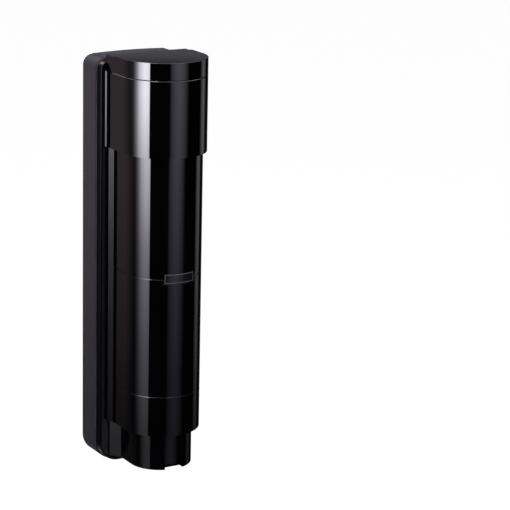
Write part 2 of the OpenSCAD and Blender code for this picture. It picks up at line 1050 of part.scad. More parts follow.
module front_cover() {
    color("#0d0d10")
    difference() {
        union() {
            difference() {
                upright(foot_top, hood_low - foot_top) cover_area(0);
                upright(foot_top + cover_floor, hood_low - foot_top) cover_area(shell_wall);
            }
            difference() {
                upright(hood_low, cover_top - hood_low) d_area(cover_r, to_shell_back);
                upright(hood_low - over, cover_top - hood_low + over - shell_wall)
                    d_area(cover_r - shell_wall, to_shell_back + over);
            }
            for (side = [-1, 1])
                translate([side * (cover_r + cover_flare_out / 2 - shell_wall / 2)
                        - (cover_flare_out + shell_wall) / 2,
                        axis_y + cover_crease + flare_back, hood_low - shell_wall])
                    cube([cover_flare_out + shell_wall, to_shell_back - cover_crease - flare_back,
                        shell_wall]);
            block([tamper_x - tamper_rib_w / 2, tamper_x + tamper_rib_w / 2],
                [rib_front - tamper_rib_t, rib_front],
                [tamper_z - tamper_rib_w / 2, cover_top - shell_wall / 2]);
        }
        upright(foot_top - over, cover_floor + 2 * over) circle(floor_hole_r);
        groove_ring(groove_2_z);
        groove_ring(groove_3_z);
        front_arc(groove_2_z - plate_h / 2 - plate_gap, plate_h + 2 * plate_gap,
            cover_r - plate_depth, cover_r + over, plate_angle + plate_gap_angle);
        foot_boss_places() translate([0, 0, foot_top - over])
            cylinder(h = cover_floor + 2 * over, r = screw_r + run_fit);
        hood_boss_places() translate([0, 0, cover_top - shell_wall - over])
            cylinder(h = shell_wall + 2 * over, r = screw_r + run_fit);
    }
}

module name_plate() {
    color("#1c1d20")
    front_arc(groove_2_z - plate_h / 2, plate_h, cover_r - plate_depth, cover_r, plate_angle);
}

// Hood: a wider shell over the top of the cover, with a lip below and a tail behind the cap
hood_lip_t = 2;
tail_start = 30;
cap_step = 0.6;
cap_inset = 0.8;
spigot_h = 4;
spigot_gap = 0.2;
spigot_t = 1.6;
cap_roof = 3.5;
step_depth = 1.2;
step_mid = 34;
step_side = 21;
step_sag = step_mid - step_side;
step_r = (hood_r * hood_r + step_sag * step_sag) / (2 * step_sag);

// The tail's side view, with its upper rear corner rounded, drawn in by a margin
module tail_area(inset) {
    back = to_shell_back - tail_start;
    top = hood_top - groove_1_z - inset;
    r = tail_round - inset;
    intersection() {
        square([back + inset, top]);
        union() {
            square([back + inset, top - r]);
            square([back - inset - r, top]);
            translate([back - inset - r, top - r]) circle(r);
        }
    }
}

// The tail's block across the hood, from the given margin on all its open sides
module tail(inset) {
    half = hood_r - inset;
    translate([-half, axis_y + tail_start, groove_1_z])
        rotate([90, 0, 90]) linear_extrude(2 * half) tail_area(inset);
}

// What stands behind the shallow arched step across the top
module step_cut() {
    difference() {
        upright(hood_top - step_depth, step_depth + over)
            translate([-hood_r - over, 0]) square([2 * (hood_r + over), hood_r + over]);
        upright(hood_top - step_depth - over, step_depth + 3 * over)
            translate([0, step_mid - step_r]) circle(step_r, $fn = 360);
    }
}

module hood() {
    color("#101013")
    difference() {
        union() {
            upright(hood_low, groove_1_z - hood_low) d_area(hood_r, to_shell_back);
            tail(0);
        }
        upright(hood_low + hood_lip_t, groove_1_z - hood_low - hood_lip_t + over)
            d_area(hood_r - shell_wall, to_shell_back + over);
        upright(hood_low - over, hood_lip_t + 2 * over)
            d_area(cover_r + snug, to_shell_back + over);
        translate([0, -over, 0]) tail(shell_wall);
        translate([0, 0, -over]) tail(shell_wall);
        step_cut();
    }
}

module hood_cap() {
    color("#17171b")
    difference() {
        union() {
            upright(groove_1_z, cap_step) d_area(hood_r - cap_inset, tail_start);
            upright(groove_1_z + cap_step, cap_h - cap_step) d_area(hood_r, tail_start);
            upright(groove_1_z - spigot_h, spigot_h + over)
                d_area(hood_r - shell_wall - spigot_gap, tail_start - over);
        }
        upright(groove_1_z - spigot_h - over, spigot_h + over)
            d_area(hood_r - shell_wall - spigot_gap - spigot_t, tail_start + over);
        difference() {
            upright(groove_1_z - over, cap_h - cap_roof + over)
                d_area(hood_r - shell_wall - spigot_gap - spigot_t, tail_start - shell_wall);
            hood_boss_places() translate([0, 0, cover_top])
                cylinder(h = cap_h, r = hood_boss_r);
        }
        hood_boss_places() translate([0, 0, cover_top - over])
            cylinder(h = cap_h - cap_roof - spigot_h, r = pilot_r);
        upright(groove_1_z - spigot_h - over, cover_top - groove_1_z + spigot_h + over)
            d_area(cover_r + spigot_gap, tail_start + over);
        step_cut();
    }
}

hood_screw_l = 5;

module hood_screws() {
    color("#bcbcc0")
    hood_boss_places() translate([0, 0, cover_top - shell_wall]) {
        translate([0, 0, -head_h]) cylinder(h = head_h, r = head_r);
        cylinder(h = hood_screw_l, r = pilot_r - run_fit);
    }
}

// Foot: the narrower shell under the cover, with a recess for the locking screw
recess_wall = 2;
recess_depth = 24;
recess_front = axis_y - foot_r;
recess_back = recess_front + recess_depth;

module foot_shell() {
    color("#0e0e11")
    difference() {
        union() {
            difference() {
                upright(z_low, foot_h) foot_area(0);
                upright(z_low + shell_wall, foot_h) foot_area(shell_wall);
                block([-foot_r + shell_wall, foot_r - shell_wall],
                    [axis_y + foot_back - over, axis_y + foot_back + over],
                    [z_low + shell_wall, foot_top + over]);
            }
            intersection() {
                upright(z_low, recess_h + shell_wall) foot_area(0);
                block([-recess_w / 2 - recess_wall, recess_w / 2 + recess_wall],
                    [recess_front, recess_back + recess_wall], [z_low, tongue_low]);
            }
            intersection() {
                upright(z_low, foot_h) foot_area(shell_wall / 2);
                foot_boss_places() translate([0, 0, foot_top - foot_boss_h])
                    cylinder(h = foot_boss_h, r = foot_boss_r);
            }
        }
        block([-recess_w / 2, recess_w / 2], [recess_front - over, recess_back],
            [z_low - over, z_low + recess_h]);
        translate([0, clamp_y, z_low])
            cylinder(h = foot_h / 2, r = clamp_screw_r + run_fit);
        foot_boss_places() translate([0, 0, foot_top - foot_boss_h / 2])
            cylinder(h = foot_boss_h, r = pilot_r);
    }
}

foot_screw_l = 6;

module foot_screws() {
    color("#bcbcc0")
    foot_boss_places() translate([0, 0, foot_top + cover_floor]) {
        cylinder(h = head_h, r = head_r);
        translate([0, 0, -foot_screw_l]) cylinder(h = foot_screw_l, r = pilot_r - run_fit);
    }
}

// Locking screw: turned from below, it clamps the chassis tongue between foot and nut
clamp_head_r = 4;
clamp_head_h = 3;
clamp_nut_side = 8;
clamp_nut_h = 3.2;
clamp_nut_low = tongue_low + tongue_t + slack;
drive_share = 0.6;

module cover_screw() {
    color("#c6c6ca")
    translate([0, clamp_y, z_low + recess_h - slack / 2])
    difference() {
        union() {
            translate([0, 0, -clamp_head_h]) cylinder(h = clamp_head_h, r = clamp_head_r);
            cylinder(h = clamp_nut_low + clamp_nut_h + over - z_low - recess_h,
                r = clamp_screw_r);
        }
        for (turn = [0, 90]) rotate([0, 0, turn])
            translate([-clamp_head_r * drive_share, -tick_w, -clamp_head_h - over])
                cube([2 * clamp_head_r * drive_share, 2 * tick_w, over + drive_depth]);
    }
}

module clamp_nut() {
    color("#b99a45")
    translate([0, clamp_y, clamp_nut_low])
    difference() {
        translate([-clamp_nut_side / 2, -clamp_nut_side / 2, 0])
            cube([clamp_nut_side, clamp_nut_side, clamp_nut_h]);
        translate([0, 0, -over])
            cylinder(h = clamp_nut_h + 2 * over, r = clamp_screw_r + run_fit);
    }
}

back_box();
box_gasket();
front_frame();
chassis();
chassis_screws();
cover_gasket();
wiring_grommet();
relay_board();
relays();
lower_bracket();
upper_bracket();
bracket_screws();
lower_pan_scale();
upper_pan_scale();
control_board();
board_screws();
indicator_lights();
test_jack();
mode_switch_block();
tamper_switch();
terminal_block();
terminal_screws();
response_dial_base();
channel_dial_base();
front_cover();
hood();
hood_cap();
hood_screws();
name_plate();
foot_shell();
foot_screws();
clamp_nut();
cover_screw();
lower_yoke();
lower_lens_holder();
lower_lenses();
lower_sight();
lower_sensor_board();
lower_tilt_pins();
lower_tilt_screw();
lower_tilt_nut();
upper_yoke();
upper_lens_holder();
upper_lenses();
upper_sight();
upper_sensor_board();
upper_tilt_pins();
upper_tilt_screw();
upper_tilt_nut();
tamper_plunger();
tamper_spring();
response_knob();
channel_knob();
mode_slider_1();
mode_slider_2();
mode_slider_3();
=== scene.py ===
# %% [markdown]
# # A wall-mounted infrared beam detector
# A tall black housing with a glossy round front, a hood over its top and a narrower foot below.
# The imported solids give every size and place. This lesson rebuilds the polished shells that
# catch the light, gives the working parts inside their finishes, and lights the whole like a
# product photograph.

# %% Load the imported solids
import json
import math
import random

import bmesh
import bpy
from mathutils import Matrix, Vector

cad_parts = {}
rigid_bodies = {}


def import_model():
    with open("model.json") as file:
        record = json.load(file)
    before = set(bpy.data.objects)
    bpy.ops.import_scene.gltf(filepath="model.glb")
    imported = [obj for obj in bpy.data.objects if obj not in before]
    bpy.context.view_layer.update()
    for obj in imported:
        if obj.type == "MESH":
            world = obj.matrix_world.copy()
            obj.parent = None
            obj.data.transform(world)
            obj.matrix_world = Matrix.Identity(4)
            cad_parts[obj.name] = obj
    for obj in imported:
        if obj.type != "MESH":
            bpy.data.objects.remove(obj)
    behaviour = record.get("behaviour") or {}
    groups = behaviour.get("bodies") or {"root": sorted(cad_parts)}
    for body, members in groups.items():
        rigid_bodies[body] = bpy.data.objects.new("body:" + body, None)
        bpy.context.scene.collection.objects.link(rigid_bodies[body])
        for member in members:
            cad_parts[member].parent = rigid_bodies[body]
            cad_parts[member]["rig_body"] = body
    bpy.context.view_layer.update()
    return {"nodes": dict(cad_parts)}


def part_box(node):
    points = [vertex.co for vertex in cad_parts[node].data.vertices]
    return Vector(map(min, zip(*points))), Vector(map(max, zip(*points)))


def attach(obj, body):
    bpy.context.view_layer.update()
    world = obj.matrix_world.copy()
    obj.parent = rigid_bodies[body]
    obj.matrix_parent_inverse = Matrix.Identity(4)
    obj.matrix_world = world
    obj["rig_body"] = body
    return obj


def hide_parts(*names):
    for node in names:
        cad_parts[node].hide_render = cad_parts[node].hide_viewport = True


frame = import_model()
scene = bpy.context.scene
mm = 0.001

# %% [markdown]
# ## Sizes
# The corners of the solids say where each shell starts and ends. Only small sizes, such as a wall
# or a groove, are written as numbers, each with its name. All the round fronts share one upright
# axis, so the hood's box is enough to find it.

# %% Sizes read from the solids
hood_lo, hood_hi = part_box("hood")
cover_lo, cover_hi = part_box("front_cover")
foot_lo, foot_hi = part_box("foot_shell")
plate_lo, plate_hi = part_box("name_plate")

hood_r = hood_hi.x
axis_y = hood_lo.y + hood_r
cover_r = axis_y - cover_lo.y
foot_r = axis_y - foot_lo.y
shell_back = hood_hi.y - axis_y
rear_y = axis_y + shell_back
hood_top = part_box("hood_cap")[1].z
wall = 2 * mm
print("axis at y", round(axis_y / mm, 2), "radii", round(hood_r / mm, 2), round(cover_r / mm, 2))

# %% [markdown]
# ## Shaded patterns that several finishes share
# Real plastic is never one flat value: it has a moulded grain, faint rub marks and a little dust
# on what faces up. Drawn again in every material, these effects would be long, so each is built
# once, as a node group with named inputs, and a finish only turns it up or down.

# %% A helper that starts a node group
def new_group(name, inputs, outputs):
    """A shader group with float inputs (name: default) and float outputs."""
    group = bpy.data.node_groups.new(name, "ShaderNodeTree")
    for label, value in inputs.items():
        socket = group.interface.new_socket(label, in_out="INPUT", socket_type="NodeSocketFloat")
        socket.default_value = value
    for label in outputs:
        group.interface.new_socket(label, in_out="OUTPUT", socket_type="NodeSocketFloat")
    return group, group.nodes.new("NodeGroupInput"), group.nodes.new("NodeGroupOutput")

# %% Helpers for nodes and links
def set_inputs(node, **values):
    """Sets sockets by their names, in which an underscore stands for a space."""
    for key, value in values.items():
        node.inputs[key.replace("_", " ")].default_value = value


def add(tree, kind, **values):
    """Adds a node; a value's name is one of the node's own settings or, after in_, a socket."""
    node = tree.nodes.new(kind)
    for key, value in values.items():
        if key.startswith("in_"):
            set_inputs(node, **{key[3:]: value})
        else:
            setattr(node, key, value)
    return node


def link(output, target):
    """Joins two sockets; id_data is the node tree that a socket belongs to."""
    output.id_data.links.new(output, target)


def maths(operation, a, b=None, clamp=False):
    """A Math node whose two inputs are sockets or numbers."""
    tree = (a if isinstance(a, bpy.types.NodeSocket) else b).id_data
    node = add(tree, "ShaderNodeMath", operation=operation, use_clamp=clamp)
    for i, value in enumerate((a, b)):
        if isinstance(value, bpy.types.NodeSocket):
            link(value, node.inputs[i])
        elif value is not None:
            node.inputs[i].default_value = value
    return node.outputs[0]


def times(a, b, clamp=False):
    return maths("MULTIPLY", a, b, clamp)


def plus(a, b, clamp=False):
    return maths("ADD", a, b, clamp)

# %% Helpers for textures
def split(vector):
    """The X, Y and Z of a vector."""
    node = add(vector.id_data, "ShaderNodeSeparateXYZ")
    link(vector, node.inputs[0])
    return node.outputs


def noise(place, **values):
    """A noise texture that is read at a place."""
    node = add(place.id_data, "ShaderNodeTexNoise", **values)
    link(place, node.inputs["Vector"])
    return node


def ramp_node(factor, stops):
    """A colour ramp; each stop is (position, value), with a colour or a grey as its value."""
    ramp = add(factor.id_data, "ShaderNodeValToRGB")
    points = ramp.color_ramp.elements
    while len(points) < len(stops):
        points.new(0.5)
    for point, (position, value) in zip(points, sorted(stops)):
        point.position = position
    for point, (position, value) in zip(points, sorted(stops)):
        point.color = list(value) + [1] if isinstance(value, tuple) else (value, value, value, 1)
    link(factor, ramp.inputs["Fac"])
    return ramp.outputs["Color"]

# %% [markdown]
# ### Moulded grain
# A mould is etched to give plastic a fine grain, a fraction of a millimetre across. Fine noise
# raises the surface, and broad noise gives patches that vary the colour and the gloss.

# %% Group: moulded grain
def make_grain():
    group, given, result = new_group("moulded_grain", {"Scale": 1500}, ["Height", "Patches"])
    place = add(group, "ShaderNodeTexCoord").outputs["Object"]
    fine = noise(place, in_Detail=3, in_Roughness=0.6)
    link(given.outputs["Scale"], fine.inputs["Scale"])
    broad = noise(place, in_Scale=28, in_Detail=4)
    link(fine.outputs["Fac"], result.inputs["Height"])
    link(broad.outputs["Fac"], result.inputs["Patches"])
    return group


grain_group = make_grain()
print("made", grain_group.name)

# %% [markdown]
# ### Dust and rub marks
# Dust lies on faces that look up and gathers in soft patches. Rub marks are long and thin, so
# their noise is stretched along the height of the housing.

# %% Group: dust and rub marks
rub_start, rub_gain = 0.62, 6


def make_wear():
    group, given, result = new_group("dust_and_rubs", {"Dust": 0.3, "Rubs": 0.3}, ["Dust", "Rubs"])
    place = add(group, "ShaderNodeTexCoord").outputs["Object"]
    facing = split(add(group, "ShaderNodeNewGeometry").outputs["Normal"])
    patches = noise(place, in_Scale=60, in_Detail=6, in_Roughness=0.7)
    upward = times(facing["Z"], patches.outputs["Fac"], clamp=True)
    dust = times(upward, given.outputs["Dust"], clamp=True)
    link(dust, result.inputs["Dust"])
    stretch = add(group, "ShaderNodeMapping", vector_type="POINT", in_Scale=(900, 900, 12))
    link(place, stretch.inputs["Vector"])
    streaks = noise(stretch.outputs["Vector"], in_Scale=1, in_Detail=2)
    thin = maths("SUBTRACT", streaks.outputs["Fac"], rub_start, clamp=True)
    strong = times(thin, rub_gain, clamp=True)
    rubs = times(strong, given.outputs["Rubs"])
    link(rubs, result.inputs["Rubs"])
    return group


wear_group = make_wear()
print("made", wear_group.name)

# %% [markdown]
# ### Rings
# A stepped lens carries rings round its centre. The distance from an axis along Y, divided into
# steps of which only the fraction is kept, gives them. The centre of a lens lies above or below
# the middle of its holder, so the height is folded about that middle first.

# %% Group: rings round an axis
def make_rings():
    group, given, result = new_group(
        "rings", {"Middle": 0.0, "Fold": 0.0, "Pitch": 0.001}, ["Height"])
    parts = split(add(group, "ShaderNodeTexCoord").outputs["Object"])
    above = maths("SUBTRACT", parts["Z"], given.outputs["Middle"])
    folded = maths("SUBTRACT", maths("ABSOLUTE", above), given.outputs["Fold"])
    across = times(parts["X"], parts["X"])
    up = times(folded, folded)
    radius = maths("SQRT", plus(across, up))
    turns = maths("DIVIDE", radius, given.outputs["Pitch"])
    link(maths("FRACT", turns), result.inputs["Height"])
    return group


ring_group = make_rings()
print("made", ring_group.name)

# %% [markdown]
# ## Finishes
# Every finish is a Principled shader. Its constant values sit on the shader itself, and the
# groups feed only what changes over the surface: a little in the colour, more in the roughness
# and the bump, because gloss is what tells one plastic from another. A Mix node has sockets for
# every kind of value, so those for colours are picked by number.

# %% Helpers for materials
mix_factor, mix_below, mix_above, mix_result = 0, 6, 7, 2


def new_material(name):
    """A material, its node tree and its Principled shader."""
    material = bpy.data.materials.new(name)
    material.use_nodes = True
    tree = material.node_tree
    return material, tree, tree.nodes["Principled BSDF"]


def blend(factor, below, colour):
    """Blends a plain colour over the colour of a socket."""
    mix = add(factor.id_data, "ShaderNodeMix", data_type="RGBA")
    mix.inputs[mix_above].default_value = colour
    link(factor, mix.inputs[mix_factor])
    link(below, mix.inputs[mix_below])
    return mix.outputs[mix_result]


def add_bump(shader, height, strength, distance=0.2 * mm):
    """Raises the surface by a height that a socket gives."""
    bump = add(shader.id_data, "ShaderNodeBump", in_Strength=strength, in_Distance=distance)
    link(height, bump.inputs["Height"])
    link(bump.outputs["Normal"], shader.inputs["Normal"])

# %% A helper that makes a finish
tint = 0.12
dust_colour = (0.35, 0.34, 0.32, 1)
rub_haze, dust_haze, patch_haze = 0.2, 0.5, 0.3


def finish(name, colour, roughness, grain=0.05, grain_size=1500, dust=0.1, rubs=0.1,
           metallic=0, shine=0.5):
    """A plastic, rubber or metal finish built on the shared groups."""
    material, tree, shader = new_material(name)
    set_inputs(shader, Metallic=metallic, Specular_IOR_Level=shine)
    grain_node = add(tree, "ShaderNodeGroup", node_tree=grain_group, in_Scale=grain_size)
    wear_node = add(tree, "ShaderNodeGroup", node_tree=wear_group, in_Dust=dust, in_Rubs=rubs)
    darker = tuple(c * (1 - tint) for c in colour)
    lighter = tuple(min(1, c * (1 + tint)) for c in colour)
    patches = grain_node.outputs["Patches"]
    shade = ramp_node(patches, [(0.35, darker), (0.65, lighter)])
    dusty = blend(wear_node.outputs["Dust"], shade, dust_colour)
    link(dusty, shader.inputs["Base Color"])
    worn = times(wear_node.outputs["Rubs"], rub_haze)
    dulled = times(wear_node.outputs["Dust"], dust_haze)
    patchy = times(patches, roughness * patch_haze)
    total = plus(plus(worn, dulled), patchy)
    even = roughness * (1 - patch_haze / 2)
    link(plus(total, even, clamp=True), shader.inputs["Roughness"])
    add_bump(shader, grain_node.outputs["Height"], grain)
    return material

# %% [markdown]
# ### The housing
# The cover, hood and foot are polished plastic that looks black and lets infrared through. Its
# gloss is nearly a mirror, so the roughness is very low and the grain almost nothing. The rear
# box is satin with an etched grain, and reads as blue-grey beside it.

# %% Finishes of the housing
cover_gloss = finish("cover_gloss", (0.0008, 0.0008, 0.0012), 0.045, grain=0.01, grain_size=90,
                     dust=0.003, rubs=0.04)
top_gloss = finish("top_gloss", (0.006, 0.006, 0.008), 0.05, grain=0.02, grain_size=200,
                   dust=0.02, rubs=0.05)
frame_gloss = finish("frame_gloss", (0.002, 0.002, 0.003), 0.09, grain=0.02, grain_size=120,
                     dust=0.005, shine=0.3)
# The frame's black again with far less shine: painted shade for the frame's outer sides.
frame_side_painted_shade = finish("frame_side_painted_shade", (0.002, 0.002, 0.003), 0.09, grain=0.02, dust=0.005, shine=0.03)
box_satin = finish("box_satin", (0.0082, 0.0082, 0.0113), 0.5, grain=0.35, grain_size=1700,
                   dust=0.02, rubs=0.15, shine=0.11)
rubber = finish("rubber", (0.007, 0.007, 0.007), 0.75, grain=0.3, grain_size=900, dust=0.15)
plate_face = finish("plate_face", (0.006, 0.006, 0.007), 0.2, dust=0.01)
plate_line = finish("plate_line", (0.085, 0.088, 0.095), 0.4, dust=0.01)
print("materials so far:", len(bpy.data.materials))

# %% [markdown]
# ### The working parts
# Moulded black brackets, green lacquered boards, zinc-plated screws and brass nuts. Metal is set
# by Metallic 1 and a coloured base; plated steel is a little rougher than brass.

# %% Finishes of the working parts
chassis_black = finish("chassis_black", (0.018, 0.018, 0.021), 0.42, grain=0.25, dust=0.12)
connector_black = finish("connector_black", (0.014, 0.014, 0.017), 0.3, grain=0.12)
steel = finish("steel", (0.56, 0.57, 0.6), 0.26, grain=0.15, grain_size=2500, dust=0.04,
               rubs=0.5, metallic=1)
brass = finish("brass", (0.72, 0.52, 0.22), 0.24, grain=0.12, dust=0.04, rubs=0.5, metallic=1)
relay_white = finish("relay_white", (0.78, 0.75, 0.66), 0.3, grain=0.06)
scale_white = finish("scale_white", (0.8, 0.8, 0.76), 0.45, grain=0.1, dust=0.08)
knob_ivory = finish("knob_ivory", (0.8, 0.77, 0.68), 0.38, grain=0.12, dust=0.08)
switch_red = finish("switch_red", (0.42, 0.03, 0.022), 0.3, grain=0.1, dust=0.06)
dial_blue = finish("dial_blue", (0.035, 0.085, 0.36), 0.28, grain=0.1, dust=0.06)
lamp_red = finish("lamp_red", (0.55, 0.03, 0.02), 0.08, grain=0.02, dust=0.02)
solder = finish("solder", (0.62, 0.62, 0.64), 0.22, grain=0.2, grain_size=700, metallic=1)
mirror = finish("mirror", (0.86, 0.87, 0.89), 0.03, grain=0, dust=0.02, metallic=1)
print("materials so far:", len(bpy.data.materials))

# %% [markdown]
# ### Circuit board
# Under its green lacquer a board has copper tracks, a shade lighter, that run in short straight
# lines. A very fine brick pattern gives such lines, and its own factor raises them slightly.

# %% Finish of the circuit boards
def board_finish():
    material = finish("board_green", (0.01, 0.085, 0.038), 0.22, dust=0.04)
    tree = material.node_tree
    shader = tree.nodes["Principled BSDF"]
    place = add(tree, "ShaderNodeTexCoord").outputs["Object"]
    turned = add(tree, "ShaderNodeMapping", vector_type="POINT", in_Rotation=(math.pi / 2, 0, 0))
    link(place, turned.inputs["Vector"])
    tracks = add(tree, "ShaderNodeTexBrick", offset=0.37, squash=1, in_Scale=160,
                 in_Mortar_Size=0.035, in_Brick_Width=1.7, in_Row_Height=0.4)
    link(turned.outputs["Vector"], tracks.inputs["Vector"])
    below = shader.inputs["Base Color"].links[0].from_socket
    tracked = blend(tracks.outputs["Fac"], below, (0.05, 0.2, 0.08, 1))
    link(tracked, shader.inputs["Base Color"])
    add_bump(shader, tracks.outputs["Fac"], 0.3, distance=0.1 * mm)
    return material


board_green = board_finish()
print("made", board_green.name)

# %% [markdown]
# ### Lens
# The lenses are clear plastic with fine steps in rings, like those of a lighthouse lamp. Clear
# means full transmission, and the rings are only a bump.

# %% Finish of the lenses
sight_h = 9 * mm
ring_pitch = 1.1 * mm


def lens_finish(name, node):
    """Clear plastic with rings about the middle of each of a holder's two lenses."""
    low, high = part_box(node)
    middle = (low.z + high.z) / 2
    lens_mid = (high.z - middle + sight_h / 2) / 2
    material, tree, shader = new_material(name)
    set_inputs(shader, Transmission_Weight=1, IOR=1.49)
    grain_node = add(tree, "ShaderNodeGroup", node_tree=grain_group)
    patches = grain_node.outputs["Patches"]
    shade = ramp_node(patches, [(0.0, (0.8, 0.86, 0.92)), (1.0, (0.92, 0.95, 0.98))])
    link(shade, shader.inputs["Base Color"])
    link(times(patches, 0.1), shader.inputs["Roughness"])
    rings = add(tree, "ShaderNodeGroup", node_tree=ring_group, in_Middle=middle,
                in_Fold=lens_mid, in_Pitch=ring_pitch)
    add_bump(shader, rings.outputs["Height"], 0.5)
    return material


lens_lower = lens_finish("lens_lower", "lower_lenses")
lens_upper = lens_finish("lens_upper", "upper_lenses")
print("made", lens_lower.name, lens_upper.name)

# %% [markdown]
# ## Helpers for the shells
# Each shell starts as its outline seen from above: one vertex is spun half a turn about the axis
# for the round front, and its two ends are drawn to the rear. The outline is then raised level by
# level. That keeps every ring of vertices in line, so the reflections run straight.

# %% Merge, extrude and draw in
merge_gap = 0.004 * mm


def merge(bm):
    """Joins the vertices that lie in one place."""
    bmesh.ops.remove_doubles(bm, verts=bm.verts, dist=merge_gap)


def new_vertex(bm, place):
    return bmesh.ops.create_vert(bm, co=place)["vert"][0]


def verts_in(geom):
    """The vertices among what an operator made."""
    return [g for g in geom if isinstance(g, bmesh.types.BMVert)]


def extrude(bm, edges):
    """Extrudes edges and gives back the new vertices."""
    return verts_in(bmesh.ops.extrude_edge_only(bm, edges=edges)["geom"])


def draw_in(verts, depth):
    """Moves vertices towards the middle: in front of the axis round it, behind it sideways."""
    for v in verts:
        if v.co.y < axis_y - merge_gap:
            flat = Vector((v.co.x, v.co.y - axis_y))
            flat = flat * ((flat.length - depth) / flat.length)
            v.co.x, v.co.y = flat.x, flat.y + axis_y
        elif abs(v.co.x) > merge_gap:
            v.co.x -= depth * math.copysign(1, v.co.x)

# %% Outline and levels
arc_steps = 72


def draw_back(bm, vertex, points):
    """Draws a line from a vertex through points, given as (out, back) from the round front's end."""
    start = vertex.co.x
    for out, back in points:
        vertex = bmesh.ops.extrude_vert_indiv(bm, verts=[vertex])["verts"][0]
        vertex.co.x, vertex.co.y = start + math.copysign(out, start), axis_y + back


def round_outline(bm, r, z, rear, cuts=()):
    """The outline of a round front at one level; cuts are half angles that need a vertex."""
    marks = sorted({0.0, math.pi} | {math.pi / 2 + s * c for c in cuts for s in (-1, 1)})
    first = new_vertex(bm, (-r, axis_y, z))
    last = first
    for low, high in zip(marks, marks[1:]):
        steps = max(2, round((high - low) / math.pi * arc_steps))
        spun = bmesh.ops.spin(bm, geom=[last], cent=(0, axis_y, z), axis=(0, 0, 1),
                              angle=high - low, steps=steps)
        last = verts_in(spun["geom_last"])[0]
    draw_back(bm, first, rear)
    draw_back(bm, last, rear)
    return list(bm.edges)


def raise_levels(bm, edges, levels):
    """Extrudes an outline through levels, each a height and how far it is drawn in from the last."""
    for z, depth in levels:
        made = bmesh.ops.extrude_edge_only(bm, edges=edges)["geom"]
        verts = verts_in(made)
        edges = [g for g in made if isinstance(g, bmesh.types.BMEdge)
                 and all(v in verts for v in g.verts)]
        for v in verts:
            v.co.z = z
        if depth:
            draw_in(verts, depth)

# %% [markdown]
# ### Finishing a piece
# Doubled vertices are merged and the normals turned outwards. A Solidify modifier gives a shell
# its wall, and a Bevel rounds the edges by a few tenths of a millimetre: without that thin
# highlight no moulded edge looks real. A Weighted Normal lets the large faces decide the shading,
# so that a flat side stays flat.

# %% Finish a piece and hand it to the frame
def new_object(name, bm):
    """Makes an object of the scene from a bmesh."""
    mesh = bpy.data.meshes.new(name)
    bm.to_mesh(mesh)
    bm.free()
    made = bpy.data.objects.new(name, mesh)
    scene.collection.objects.link(made)
    return made


def finish_piece(bm, name, nodes, materials, body="cover", wall=0.0,
                 bevel=0.25 * mm, segments=3, sharp=35, outwards=True):
    """Gives a piece its materials, wall, soft edges and place in the frame."""
    merge(bm)
    bmesh.ops.dissolve_degenerate(bm, edges=bm.edges, dist=merge_gap / 2)
    if outwards:
        bmesh.ops.recalc_face_normals(bm, faces=bm.faces)
    piece = new_object(name, bm)
    mesh = piece.data
    for material in materials:
        mesh.materials.append(material)
    mesh.shade_smooth()
    mesh.set_sharp_from_angle(angle=math.radians(sharp))
    if wall:
        thick = piece.modifiers.new("wall", "SOLIDIFY")
        thick.thickness, thick.offset = wall, -1.0
        thick.use_even_offset = True
    soft = piece.modifiers.new("edges", "BEVEL")
    soft.width, soft.segments, soft.profile = bevel, segments, 0.5
    soft.limit_method, soft.angle_limit = "ANGLE", math.radians(sharp)
    even = piece.modifiers.new("normals", "WEIGHTED_NORMAL")
    even.mode, even.weight, even.keep_sharp = "FACE_AREA", 50, True
    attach(piece, body)
    if nodes:
        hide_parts(*nodes)
    print(name, len(mesh.polygons), "faces")
    return piece

# %% [markdown]
# ## Cover
# The cover is the long black shell that the beams pass through. It widens a little at the rear,
# where an oblique strip runs down each side. Two grooves run round it, and the upper one widens
# into a shallow seat for the plate. The grooves are faces pushed in, which leaves crisp walls.

# %% Cover: helpers that push faces in
def lift_faces(bm, chosen):
    """Extrudes faces, takes away the old ones and gives back the new vertices."""
    made = bmesh.ops.extrude_face_region(bm, geom=chosen)["geom"]
    bmesh.ops.delete(bm, geom=chosen, context="FACES")
    return verts_in(made)


def at_rear(item):
    """Tells whether all the vertices of a face or an edge lie at the open rear."""
    return all(v.co.y > rear_y - merge_gap for v in item.verts)


def sink(bm, chosen, depth):
    """Pushes the chosen faces in and leaves walls at their edges, but none at the open rear."""
    draw_in(lift_faces(bm, chosen), depth)
    bmesh.ops.delete(bm, geom=[f for f in bm.faces if at_rear(f)], context="FACES_ONLY")
    bmesh.ops.delete(bm, geom=[e for e in bm.edges if e.is_wire], context="EDGES")


def angle_of(face):
    """The angle from the front to the middle of a face."""
    middle = face.calc_center_median()
    return abs(math.atan2(middle.x, axis_y - middle.y))

# %% Cover: skin with grooves and the seat of the plate
cover_crease = 27.5 * mm
cover_strip = 6 * mm
cover_flare = cover_hi.x - cover_r
groove_half = 0.8 * mm
groove_depth = 0.8 * mm
mid_groove = (plate_lo.z + plate_hi.z) / 2
low_groove = foot_hi.z + 42 * mm
seat_room = 0.5 * mm
seat_half = (plate_hi.z - plate_lo.z) / 2 + seat_room
seat_angle = math.radians(25.6)

cover_rear = [(0, cover_crease), (cover_flare, cover_crease + cover_strip), (cover_flare, shell_back)]
bm = bmesh.new()
edges = round_outline(bm, cover_r, cover_lo.z, cover_rear, cuts=(seat_angle,))
heights = [low_groove - groove_half, low_groove + groove_half, mid_groove - seat_half,
           mid_groove - groove_half, mid_groove + groove_half, mid_groove + seat_half, hood_lo.z]
raise_levels(bm, edges, [(z, 0) for z in heights])
merge(bm)
in_groove, in_seat = [], []
for face in bm.faces:
    z = face.calc_center_median().z
    if abs(z - low_groove) < groove_half or abs(z - mid_groove) < groove_half:
        in_groove.append(face)
    elif abs(z - mid_groove) < seat_half and angle_of(face) < seat_angle:
        in_seat.append(face)
sink(bm, in_groove + in_seat, groove_depth)
print("pushed in:", len(in_groove), "groove faces and", len(in_seat), "seat faces")

